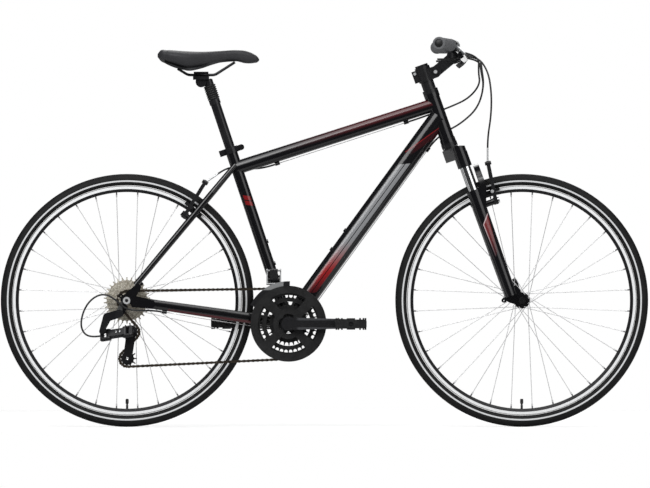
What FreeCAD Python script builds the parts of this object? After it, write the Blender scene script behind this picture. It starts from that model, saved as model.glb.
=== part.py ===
import FreeCAD, Part
import math
import os
from types import SimpleNamespace

import Sketcher

Vector = FreeCAD.Vector
UP = Vector(0, 0, 1)
LEFT = Vector(0, 1, 0)
RIGHT = Vector(0, -1, 0)
FORWARD = Vector(1, 0, 0)
ORIGIN = Vector(0, 0, 0)

# Driving dimensions of the bike, in millimetres and degrees
SIZES = {
    # Layout of the frame, seen from the side
    "wheelbase": 1089,
    "chainstay_length": 450,
    "bracket_drop": 64,
    "seat_angle": 71.6,
    "head_angle": 70.5,
    "seat_tube_length": 510,
    "head_tube_length": 145,
    "top_tube_on_seat": 453,
    "top_tube_on_head": 113,
    "down_tube_on_head": 77,
    "seatstay_on_seat": 462,
    # Frame tubes
    "seat_tube_diameter": 31.8,
    "top_tube_diameter": 38,
    "head_tube_diameter": 40,
    "head_tube_rim": 43,
    "head_tube_rim_height": 12,
    "head_tube_bore": 33,
    "down_tube_depth": 52,
    "down_tube_width": 44,
    "down_tube_foot": 42,
    "down_tube_taper": 70,
    "frame_wall": 2,
    "shell_diameter": 42,
    "shell_width": 68,
    "shell_bore": 34,
    "weld_gap": 0.02,
    # Stays and dropouts
    "chainstay_depth": 30,
    "chainstay_width": 17,
    "chainstay_root": 26,
    "chainstay_waist": 35,
    "chainstay_tail": 65,
    "seatstay_diameter": 17,
    "seatstay_root": 13,
    "seatstay_tail": 65,
    "rear_spacing": 135,
    "dropout_thick": 6,
    "dropout_radius": 17,
    "dropout_reach": 66,
    "dropout_slot": 10,
    "hanger_back": 20,
    "hanger_down": 36,
    "hanger_radius": 11,
    "elbow_back": 53,
    "elbow_down": 46,
    "elbow_radius": 12,
    "elbow_foot_back": 68.5,
    "elbow_foot_down": 85,
    "elbow_foot_radius": 7,
    "elbow_thick": 13,
    "eyelet_hole": 4.2,
    "eyelet_radius": 6,
    "bridge_diameter": 12,
    # Bottle bosses and cable stops
    "boss_pitch": 64,
    "seat_boss_height": 170,
    "down_boss_height": 236,
    "boss_diameter": 11,
    "boss_stand": 3,
    "boss_hole": 4.2,
    "boss_depth": 12,
    "stop_diameter": 9,
    "stop_length": 14,
    "stop_floor": 4,
    # Headset and steerer
    "lower_stack": 17,
    "upper_stack": 11,
    "cup_diameter": 45,
    "spacer_height": 24,
    "spacer_diameter": 36,
    "steerer_diameter": 28.6,
    "steerer_play": 0.3,
    "race_height": 4,
    "top_cap_height": 6,
    # Fork
    "fork_length": 460,
    "fork_rake": 45,
    "leg_offset": 20.5,
    "leg_spread": 58,
    "stanchion_diameter": 28,
    "stanchion_low": 190,
    "fork_travel": 63,
    "fork_bottom_gap": 8,
    "crown_height": 34,
    "crown_middle": 25,
    "socket_top": 441,
    "socket_low": 399,
    "socket_radius": 19,
    "leg_top": 331,
    "leg_collar_height": 14,
    "leg_radius": 19.5,
    "leg_foot": 22,
    "leg_foot_radius": 16.5,
    "leg_play": 0.3,
    "arch_top": 397,
    "arch_foot": 318,
    "arch_root_thick": 24,
    "arch_root_low": 284,
    "arch_root_high": 332,
    "arch_root_radius": 11,
    "arch_band": 17,
    "arch_near": 22,
    "arch_far": 37,
    "front_spacing": 100,
    "fork_dropout_thick": 6,
    "fork_dropout_radius": 16,
    # Wheels
    "bead_seat_diameter": 622,
    "tyre_height": 38,
    "tyre_wall": 2,
    "bead_half": 9.8,
    "bead_thick": 2.2,
    "tube_radius": 11,
    "rim_width": 24,
    "rim_flange": 5.5,
    "rim_lip": 2,
    "rim_depth": 17.5,
    "rim_track": 10.5,
    "rim_waist": 14,
    "rim_bed_drop": 3.5,
    "rim_wall": 2,
    "valve_diameter": 6.5,
    "valve_length": 22,
    "valve_play": 0.3,
    "spoke_count": 32,
    "spoke_diameter": 2,
    "spoke_cross": 67.5,
    "nipple_diameter": 4,
    "nipple_length": 12,
    "flange_thick": 3,
    "front_flange": 34,
    "front_flange_radius": 22,
    "rear_left_flange": 34,
    "rear_right_flange": 20,
    "rear_flange_radius": 26,
    "spoke_hole_inset": 3.5,
    "hub_barrel_radius": 10,
    "axle_diameter": 10,
    "axle_play": 0.06,
    "locknut_radius": 9,
    "locknut_thick": 4,
    "nut_radius": 10,
    "nut_thick": 11,
    # Drive
    "chain_pitch": 12.7,
    "chain_plane": 57.2,
    "chain_height": 8,
    "plate_thick": 1.1,
    "roller_diameter": 7.7,
    "roller_width": 4.6,
    "sprocket_thick": 2,
    "sprocket_pitch": 4.8,
    "tooth_height": 3.6,
    "seat_play": 1,
    "freehub_radius": 18,
    "big_ring_teeth": 48,
    "middle_ring_teeth": 38,
    "small_ring_teeth": 28,
    "ring_pitch": 7.6,
    "big_ring_inner": 79,
    "middle_ring_inner": 61,
    "small_ring_inner": 40,
    "guard_radius": 104.6,
    "guard_inner": 84,
    "guard_thick": 2.2,
    "guard_gap": 6,
    "crank_length": 172,
    "crank_thick": 14,
    "crank_inner": 70,
    "crank_boss_radius": 19,
    "crank_root_radius": 17,
    "crank_eye_radius": 13,
    "spindle_diameter": 17,
    "spindle_play": 0.06,
    "pedal_length": 92,
    "pedal_depth": 86,
    "pedal_height": 32,
    "pedal_wall": 9,
    "pedal_corner": 8,
    "pedal_tooth_rise": 4,
    "pedal_tooth_width": 4.5,
    "pedal_rail": 6,
    "pedal_boss_width": 23,
    "pedal_axle_diameter": 13,
    "pedal_play": 0.1,
    "pedal_gap": 6,
    # Rear derailleur
    "pulley_teeth": 11,
    "pulley_thick": 2.4,
    "cage_back": 12.5,
    "cage_down": 87,
    "cage_length": 74,
    "cage_gap": 11.6,
    "cage_plate": 1.6,
    "cage_radius": 13,
    "link_length": 46,
    "link_slant": 36.87,
    "link_rest": 15,
    "link_radius": 7,
    "link_height": 22,
    "link_lug": 4,
    "link_play": 0.4,
    "pin_diameter": 5,
    "pin_play": 0.05,
    "carrier_out": 26,
    # Front derailleur
    "clamp_on_seat": 128,
    "clamp_height": 14,
    "clamp_wall": 3,
    "swing_length": 26,
    "swing_rest": 17,
    "swing_out": 34,
    "swing_width": 22,
    "cage_inner_radius": 104,
    "cage_outer_radius": 117,
    "cage_inside": 9.2,
    # Rim brakes
    "brake_post_radius": 283,
    "brake_post_spread": 40,
    "brake_post_diameter": 8,
    "brake_post_base": 17,
    "brake_arm_length": 106,
    "brake_arm_thick": 12,
    "brake_arm_root": 10,
    "brake_arm_tip": 6.5,
    "brake_arm_flare": 8,
    "front_arm_out": 18,
    "rear_arm_out": 22,
    "arm_lean": 8,
    "pad_length": 58,
    "pad_height": 9,
    "pad_thick": 9,
    "pad_gap": 2.2,
    # Stem, handlebar and controls
    "stem_height": 42,
    "stem_radius": 21,
    "stem_pivot_height": 674,
    "stem_pivot_reach": 31,
    "stem_lug_radius": 16,
    "stem_lug_thick": 8,
    "stem_arm_length": 66,
    "stem_arm_rise": 39.6,
    "stem_arm_width": 23,
    "stem_clamp_radius": 20,
    "stem_clamp_width": 46,
    "bar_diameter": 22.2,
    "bar_middle_diameter": 25.4,
    "bar_wall": 2,
    "bar_half_width": 315,
    "bar_rise": 27,
    "bar_sweep": 49,
    "bar_knee": 130,
    "bar_shoulder": 50,
    "grip_radius": 16.5,
    "grip_length": 126,
    "grip_end_radius": 18,
    "perch_width": 16,
    "perch_inset": 150,
    "perch_reach": 34,
    "perch_ear": 4,
    "lever_thick": 9,
    "lever_drop": 42,
    "lever_reach": 74,
    "lever_length": 116,
    "pod_inset": 172,
    "pod_drop": 27,
    "pod_radius": 18,
    "pod_height": 15,
    "thumb_length": 42,
    "thumb_thick": 5,
    # Seat
    "seatpost_diameter": 27.2,
    "seatpost_insert": 120,
    "seatpost_top": 652,
    "seatpost_collar_diameter": 31,
    "seatpost_collar_height": 14,
    "plunger_diameter": 22,
    "plunger_play": 0.05,
    "plunger_foot": 560,
    "boot_height": 41,
    "boot_radius": 17,
    "boot_waist": 14,
    "boot_ribs": 7,
    "boot_wall": 1.6,
    "head_setback": 17,
    "head_radius": 15,
    "head_width": 34,
    "rail_diameter": 7,
    "rail_spacing": 44,
    "rail_height": 971,
    "saddle_length": 280,
    "saddle_back": 460,
    "saddle_width": 168,
    "saddle_top": 1040,
    "base_thick": 5,
    "collar_height": 17,
    "collar_wall": 4,
    "collar_ear": 26,
    "release_length": 56,
    "release_thick": 6,
    "release_barrel": 7,
    "release_root": 4,
    # Cables
    "housing_diameter": 5,
    "wire_diameter": 1.8,
    "noodle_diameter": 5,
}


class Size:
    """One size of the sheet, or a sum of such sizes, with the expression that works it out."""

    def __init__(self, amount, text):
        self.amount = amount
        self.text = text

    def __float__(self):
        return float(self.amount)

    def joined(self, other, sign, swapped=False):
        first, second = (other, self) if swapped else (self, other)
        a, b = float(first), float(second)
        results = {"+": a + b, "-": a - b, "*": a * b, "/": a / b if b else 0.0}
        words = [part.text if isinstance(part, Size) else repr(float(part)) for part in (first, second)]
        return Size(results[sign], f"({words[0]} {sign} {words[1]})")

    def __add__(self, other):
        return self.joined(other, "+")

    def __radd__(self, other):
        return self.joined(other, "+", True)

    def __sub__(self, other):
        return self.joined(other, "-")

    def __rsub__(self, other):
        return self.joined(other, "-", True)

    def __mul__(self, other):
        return self.joined(other, "*")

    def __rmul__(self, other):
        return self.joined(other, "*", True)

    def __truediv__(self, other):
        return self.joined(other, "/")

    def __neg__(self):
        return self.joined(-1, "*")


doc = FreeCAD.newDocument("hybrid_bike")
sheet = doc.addObject("Spreadsheet::Sheet", "Sizes")
for row, (alias, amount) in enumerate(SIZES.items(), start=1):
    sheet.set(f"A{row}", alias.replace("_", " "))
    sheet.set(f"B{row}", str(amount))
    sheet.setAlias(f"B{row}", alias)
doc.recompute()
size = SimpleNamespace(**{alias: Size(float(sheet.get(alias)), f"Sizes.{alias}") for alias in SIZES})

nodes = {}


# Helpers that make one object of the document each
def bind(item, name, amount):
    """A size goes in as its expression, and a plain number as it is."""
    if isinstance(amount, Size):
        item.setExpression(name, amount.text)
    else:
        setattr(item, name, amount)


def placed(origin, along=UP, across=None):
    """A placement whose own Z runs along one direction and whose own X leans to another."""
    z = Vector(along).normalize()
    lean = Vector(across) if across else (FORWARD if abs(z.x) < 0.9 else LEFT)
    y = z.cross(lean).normalize()
    return FreeCAD.Placement(origin, FreeCAD.Rotation(y.cross(z), y, z, "ZXY"))


def cylinder(label, radius, length, place):
    item = doc.addObject("Part::Cylinder", label)
    bind(item, "Radius", radius)
    bind(item, "Height", length)
    item.Placement = place
    return item


def block(label, length, width, height, place):
    """A box that is centred on its placement's origin."""
    item = doc.addObject("Part::Box", label)
    for name, amount in (("Length", length), ("Width", width), ("Height", height)):
        bind(item, name, amount)
    middle = Vector(-float(length) / 2, -float(width) / 2, -float(height) / 2)
    item.Placement = place.multiply(FreeCAD.Placement(middle, FreeCAD.Rotation()))
    return item


def torus(label, ring, section, place):
    item = doc.addObject("Part::Torus", label)
    bind(item, "Radius1", ring)
    bind(item, "Radius2", section)
    item.Placement = place
    return item


def cut(label, base, *tools):
    item = doc.addObject("Part::Cut", label)
    item.Base = base
    item.Tool = tools[0] if len(tools) == 1 else fuse(f"{label}_tools", *tools)
    return item


def fuse(label, *pieces):
    item = doc.addObject("Part::MultiFuse", label)
    item.Shapes = list(pieces)
    item.Refine = True
    return item


def group(label, *pieces):
    item = doc.addObject("Part::Compound", label)
    item.Links = list(pieces)
    return item


def mirrored(label, source):
    item = doc.addObject("Part::Mirroring", label)
    item.Source = source
    item.Normal = LEFT
    return item


def shaped(label, shape, place=None):
    item = doc.addObject("Part::Feature", label)
    item.Shape = shape
    if place:
        item.Placement = place.multiply(item.Placement)
    return item


def node(name, item):
    item.Label = name
    nodes[name] = item
    return item


def tube(label, outer, inner, length, place):
    return cut(label, cylinder(f"{label}_outer", outer, length, place),
               cylinder(f"{label}_bore", inner, length, place))


def bar_between(label, start, end, radius):
    return cylinder(label, radius, (end - start).Length, placed(start, end - start))


def origin_plane(body, role):
    return next(item for item in body.Origin.OriginFeatures if item.Role == role)


def closed_outline(sketch, corners):
    """Straight edges round the corners, each corner held at its two sizes."""
    first = sketch.GeometryCount
    count = len(corners)
    for index in range(count):
        here, there = corners[index], corners[(index + 1) % count]
        start, end = (Vector(float(x), float(y), 0) for x, y in (here, there))
        sketch.addGeometry(Part.LineSegment(start, end), False)
    for index in range(count):
        sketch.addConstraint(Sketcher.Constraint("Coincident", first + index, 2,
                                                 first + (index + 1) % count, 1))
    for index, corner in enumerate(corners):
        for kind, axis, amount in (("DistanceX", -2, corner[0]), ("DistanceY", -1, corner[1])):
            if float(amount) == 0:
                sketch.addConstraint(Sketcher.Constraint("PointOnObject", first + index, 1, axis))
                continue
            rule = Sketcher.Constraint(kind, -1, 1, first + index, 1, float(amount))
            number = sketch.addConstraint(rule)
            if isinstance(amount, Size):
                sketch.setExpression(f"Constraints[{number}]", amount.text)


def turned(label, outlines, place):
    """A body turned round its own Z axis from outlines of (radius, height) corners."""
    body = doc.addObject("PartDesign::Body", label)
    sketch = body.newObject("Sketcher::SketchObject", f"{label}_outline")
    sketch.AttachmentSupport = [(origin_plane(body, "XZ_Plane"), "")]
    sketch.MapMode = "FlatFace"
    for corners in outlines:
        closed_outline(sketch, corners)
    turn = body.newObject("PartDesign::Revolution", f"{label}_turn")
    turn.Profile = sketch
    turn.ReferenceAxis = (sketch, ["V_Axis"])
    turn.Angle = 360
    body.Placement = place
    return body


def stepped(label, steps, place, bore=None):
    """A turned piece with one radius after another: steps of (radius, from, to), with an optional bore."""
    inner = bore if bore else 0
    corners = [(inner, steps[0][1])]
    for radius, low, high in steps:
        corners += [(radius, low), (radius, high)]
    corners.append((inner, steps[-1][2]))
    return turned(label, [corners], place)


def rounded_outline(circles):
    """The stretched-band outline round circles of (x, y, radius), listed anticlockwise."""
    count = len(circles)
    leave = []
    for index in range(count):
        (x, y, radius), (other_x, other_y, other_radius) = circles[index], circles[(index + 1) % count]
        heading = math.atan2(other_y - y, other_x - x)
        apart = math.hypot(other_x - x, other_y - y)
        leave.append(heading - math.acos((radius - other_radius) / apart))
    edges = []
    for index in range(count):
        x, y, radius = circles[index]
        start, end = leave[index - 1], leave[index]
        turn = (end - start) % (2 * math.pi)
        rim = [Vector(x + radius * math.cos(a), y + radius * math.sin(a), 0)
               for a in (start, start + turn / 2, end)]
        edges.append(Part.Arc(*rim).toShape())
        other_x, other_y, other_radius = circles[(index + 1) % count]
        tangent = Vector(other_x + other_radius * math.cos(end), other_y + other_radius * math.sin(end), 0)
        edges.append(Part.LineSegment(rim[2], tangent).toShape())
    return Part.Wire(edges)


def plate(label, circles, thick, place, holes=()):
    """A flat plate, centred on its placement, with round ends and round holes."""
    circles = [tuple(float(amount) for amount in circle) for circle in circles]
    thick = float(thick)
    solid = Part.Face(rounded_outline(circles)).extrude(Vector(0, 0, thick))
    for x, y, radius in holes:
        solid = solid.cut(Part.makeCylinder(float(radius), thick, Vector(float(x), float(y), 0)))
    solid.translate(Vector(0, 0, -thick / 2))
    return shaped(label, Part.makeCompound([solid]).Solids[0], place)


def route(points, radius=None):
    """Straight runs through the points, joined by tangent arcs as large as the runs allow."""
    edges = []
    radii = []
    start = points[0]
    for before, corner, after in zip(points, points[1:], points[2:]):
        back, ahead = before - corner, after - corner
        half_turn = (math.pi - back.getAngle(ahead)) / 2
        reach = 0.45 * min(back.Length, ahead.Length)
        if radius:
            reach = min(reach, radius * math.tan(half_turn))
        bend = reach / math.tan(half_turn)
        radii.append(bend)
        back.normalize()
        ahead.normalize()
        enter, leave = corner + back * reach, corner + ahead * reach
        inward = (back + ahead).normalize()
        middle = corner + inward * (bend / math.cos(half_turn) - bend)
        edges.append(Part.LineSegment(start, enter).toShape())
        edges.append(Part.Arc(enter, middle, leave).toShape())
        start = leave
    edges.append(Part.LineSegment(start, points[-1]).toShape())
    return Part.Wire(edges), radii


def swept(label, points, diameter, radius=None):
    """A round tube along a route, with its volume held against section times length."""
    path, radii = route(points, radius)
    across = float(diameter) / 2
    ring = Part.Wire(Part.makeCircle(across, points[0], points[1] - points[0]))
    solid = path.makePipeShell([ring], True, False)
    share = solid.Volume / (math.pi * across ** 2 * path.Length)
    shortest = min(radii, default=0)
    print(f"{label}: length {path.Length:.0f}, smallest bend {shortest:.1f}, volume ratio {share:.4f}")
    return shaped(label, solid)


def loft(label, sections, ruled=False):
    item = doc.addObject("Part::Loft", label)
    item.Sections = sections
    item.Solid = True
    item.Ruled = ruled
    return item


def oval(label, deep, wide, place):
    """An ellipse whose deep radius lies along its placement's own X."""
    item = doc.addObject("Part::Ellipse", label)
    bind(item, "MajorRadius", deep)
    bind(item, "MinorRadius", wide)
    item.Placement = place
    return item


# Main points and directions, seen from the right with +X forward
wheel_radius = float(size.bead_seat_diameter) / 2 + float(size.tyre_height)
rear_axle_at = Vector(-float(size.wheelbase) / 2, 0, wheel_radius)
front_axle_at = Vector(float(size.wheelbase) / 2, 0, wheel_radius)
stay_run = math.sqrt(float(size.chainstay_length) ** 2 - float(size.bracket_drop) ** 2)
bracket_at = rear_axle_at + Vector(stay_run, 0, -float(size.bracket_drop))
seat_turn = math.radians(float(size.seat_angle))
head_turn = math.radians(float(size.head_angle))
seat_up = Vector(-math.cos(seat_turn), 0, math.sin(seat_turn))
seat_front = Vector(math.sin(seat_turn), 0, math.cos(seat_turn))
steer_up = Vector(-math.cos(head_turn), 0, math.sin(head_turn))
steer_front = Vector(math.sin(head_turn), 0, math.cos(head_turn))
steer_foot = front_axle_at - steer_front * float(size.fork_rake)
head_low = float(size.fork_length) + float(size.lower_stack)
head_high = head_low + float(size.head_tube_length)
stem_low = head_high + float(size.upper_stack) + float(size.spacer_height)
stem_high = stem_low + float(size.stem_height)


def on_seat(height, front=0, left=0):
    """A point by its height along the seat tube from the bottom bracket."""
    return bracket_at + seat_up * float(height) + seat_front * float(front) + LEFT * float(left)


def on_fork(height, front=0, left=0):
    """A point by its height along the steering axis above the front axle."""
    return steer_foot + steer_up * float(height) + steer_front * float(front) + LEFT * float(left)


# Frame: main tubes
def make_front_triangle():
    seat_radius = size.seat_tube_diameter / 2
    seat_place = placed(bracket_at, seat_up, seat_front)
    seat_solid = cylinder("seat_tube_outside", seat_radius, size.seat_tube_length, seat_place)
    seat_bore = cylinder("seat_tube_inside", size.seatpost_diameter / 2 + size.plunger_play,
                         size.seat_tube_length, seat_place)
    shell_start = bracket_at + RIGHT * (float(size.shell_width) / 2)
    shell = cylinder("shell_outside", size.shell_diameter / 2, size.shell_width, placed(shell_start, LEFT))
    shell_bore = cylinder("shell_inside", size.shell_bore / 2, size.shell_width, placed(shell_start, LEFT))
    bosses, holes = [], []
    for number in range(2):
        height = float(size.seat_boss_height) + number * float(size.boss_pitch)
        boss_place = placed(on_seat(height), seat_front)
        reach = seat_radius + size.boss_stand
        bosses.append(cylinder(f"seat_boss_{number}", size.boss_diameter / 2, reach, boss_place))
        hole_start = on_seat(height, float(reach) - float(size.boss_depth))
        holes.append(cylinder(f"seat_boss_hole_{number}", size.boss_hole / 2, size.boss_depth,
                              placed(hole_start, seat_front)))
    seat_tube = cut("seat_tube_cut", fuse("seat_tube_whole", seat_solid, shell, *bosses), seat_bore,
                    shell_bore, *holes)
    node("seat_tube", seat_tube)

    rim_height = size.head_tube_rim_height
    head_place = placed(on_fork(head_low), steer_up)
    head_steps = [(size.head_tube_rim / 2, 0, rim_height),
                  (size.head_tube_diameter / 2, rim_height, size.head_tube_length - rim_height),
                  (size.head_tube_rim / 2, size.head_tube_length - rim_height, size.head_tube_length)]
    node("head_tube", stepped("head_tube_body", head_steps, head_place, size.head_tube_bore / 2))
    head_solid = cylinder("head_tube_outside", size.head_tube_diameter / 2 + size.weld_gap,
                          size.head_tube_length, head_place)
    seat_tool = cylinder("seat_tube_tool", seat_radius + size.weld_gap, size.seat_tube_length, seat_place)

    top_start = on_seat(size.top_tube_on_seat)
    top_end = on_fork(head_low + float(size.top_tube_on_head))
    top_line = (top_end - top_start).normalize()
    top_under = Vector(top_line.z, 0, -top_line.x)
    top_place = placed(top_start, top_line, top_under)
    top_length = (top_end - top_start).Length
    top_radius = size.top_tube_diameter / 2
    top_solid = cylinder("top_tube_outside", top_radius, top_length, top_place)
    top_bore = cylinder("top_tube_inside", top_radius - size.frame_wall, top_length, top_place)
    stop_radius = float(size.stop_diameter) / 2
    stops = []
    for number, share in enumerate(TOP_STOP_SHARES):
        at = top_start + top_line * (top_length * share) + top_under * (float(top_radius) + stop_radius)
        stop = cylinder(f"top_stop_{number}", size.stop_diameter / 2, size.stop_length, placed(at, top_line))
        web = block(f"top_stop_web_{number}", size.stop_length, size.frame_wall * 2, size.stop_diameter,
                    placed(at + top_line * (float(size.stop_length) / 2) - top_under * stop_radius,
                           top_under, top_line))
        slot = cylinder(f"top_stop_slot_{number}", size.housing_diameter / 2 + size.pin_play,
                        size.stop_length - size.stop_floor,
                        placed(at + top_line * (number * float(size.stop_floor)), top_line))
        stops.append((stop, web, slot))
    top_whole = fuse("top_tube_whole", top_solid, *[stop[0] for stop in stops], *[stop[1] for stop in stops])
    top_tube = cut("top_tube_cut", top_whole, top_bore, seat_tool, head_solid, *[stop[2] for stop in stops])
    node("top_tube", top_tube)

    down_end = on_fork(head_low + float(size.down_tube_on_head))
    down_line = (down_end - bracket_at).normalize()
    down_over = Vector(-down_line.z, 0, down_line.x)
    down_length = (down_end - bracket_at).Length

    def down_section(label, along, shrink, foot=False):
        at = placed(bracket_at + down_line * along, down_line, down_over)
        deep = (size.down_tube_foot if foot else size.down_tube_depth) / 2 - shrink
        wide = size.down_tube_width / 2 - shrink - (1 if foot else 0)
        if float(deep) < float(wide):
            deep, wide = wide, deep
        return oval(label, deep, wide, at)

    def down_solid(label, shrink):
        taper = float(size.down_tube_taper)
        return loft(label, [down_section(f"{label}_foot", 0, shrink, True),
                            down_section(f"{label}_waist", taper, shrink),
                            down_section(f"{label}_head", down_length, shrink)], ruled=True)

    down_bosses, down_holes = [], []
    for number in range(2):
        along = float(size.down_boss_height) + number * float(size.boss_pitch)
        reach = size.down_tube_depth / 2 + size.boss_stand
        base = bracket_at + down_line * along
        down_bosses.append(cylinder(f"down_boss_{number}", size.boss_diameter / 2, reach,
                                    placed(base, down_over)))
        hole_start = base + down_over * (float(reach) - float(size.boss_depth))
        down_holes.append(cylinder(f"down_boss_hole_{number}", size.boss_hole / 2, size.boss_depth,
                                   placed(hole_start, down_over)))
    stop_at = bracket_at + down_line * (down_length * DOWN_STOP_SHARE)
    stop_at = stop_at - down_over * DOWN_STOP_DROP + LEFT * DOWN_STOP_LEFT
    down_stops, down_slots = [], []
    for side in (-1, 1):
        at = stop_at + LEFT * (side * DOWN_STOP_SPREAD)
        down_stops.append(cylinder(f"down_stop_{side}", size.stop_diameter / 2, size.stop_length,
                                   placed(at, down_line)))
        down_slots.append(cylinder(f"down_stop_slot_{side}", size.housing_diameter / 2 + size.pin_play,
                                   size.stop_length - size.stop_floor,
                                   placed(at + down_line * float(size.stop_floor), down_line)))
    stop_web = block("down_stop_web", size.stop_length, DOWN_STOP_SPREAD * 2, size.stop_diameter,
                     placed(stop_at + down_line * (float(size.stop_length) / 2) + down_over * stop_radius,
                            down_over, down_line))
    down_whole = fuse("down_tube_whole", down_solid("down_tube_outside", 0), *down_bosses, *down_stops,
                      stop_web)
    shell_tool = cylinder("shell_tool", size.shell_diameter / 2 + size.weld_gap, size.shell_width,
                          placed(shell_start, LEFT))
    top_tool = cylinder("top_tube_tool", top_radius + size.weld_gap, top_length, top_place)
    down_tube = cut("down_tube_cut", down_whole, down_solid("down_tube_inside", size.frame_wall), head_solid,
                    shell_tool, top_tool, seat_tool, *down_holes, *down_slots)
    node("down_tube", down_tube)
    return SimpleNamespace(top_start=top_start, top_line=top_line, top_under=top_under, top_length=top_length,
                           down_line=down_line, down_over=down_over, down_length=down_length, stop_at=stop_at)


CHAIN_STOP_BACK = 100
CHAIN_STOP_DROP = 17
CHAIN_STOP_OUT = 59
TOP_STOP_SHARES = (0.18, 0.83)
DOWN_STOP_SHARE = 0.86
DOWN_STOP_SPREAD = 5.5
DOWN_STOP_LEFT = 15
DOWN_STOP_DROP = 28


# Frame: rear stays with dropouts and brake posts
dropout_at = float(size.rear_spacing) / 2 + float(size.dropout_thick) / 2
stay_end = rear_axle_at + Vector(4, 0, 19)
stay_top = on_seat(size.seatstay_on_seat)
stay_up = Vector(stay_top.x - stay_end.x, 0, stay_top.z - stay_end.z).normalize()
stay_back = Vector(-stay_up.z, 0, stay_up.x)
stay_gap = (stay_end - rear_axle_at).dot(stay_back)


def on_stay(height, back=0, left=0):
    """A point by its height along the seatstays from the rear axle, and how far behind them it lies."""
    return rear_axle_at + stay_up * float(height) + stay_back * float(back) + LEFT * float(left)


def on_leg(height, front=0, left=0):
    """The same for the fork legs, from the front axle."""
    return front_axle_at + steer_up * float(height) + steer_front * float(front) + LEFT * float(left)


def brake_post(label, spot, outward, root, arm_out):
    """A post that carries a brake arm: a base, the pin in the arm's bore, and the bolt head on it."""
    height = float(size.brake_post_radius)
    near = float(arm_out) - float(size.link_play)
    far = float(arm_out) + float(size.brake_arm_thick) + float(size.link_play)
    spread = float(size.brake_post_spread)
    base = cylinder(f"{label}_base", size.brake_post_base / 2, near - root,
                    placed(spot(height, root, spread), outward))
    pin = cylinder(f"{label}_pin", size.brake_post_diameter / 2, far - root,
                   placed(spot(height, root, spread), outward))
    head = cylinder(f"{label}_head", size.brake_post_diameter, size.link_lug,
                    placed(spot(height, far, spread), outward))
    return [base, pin, head]


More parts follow.
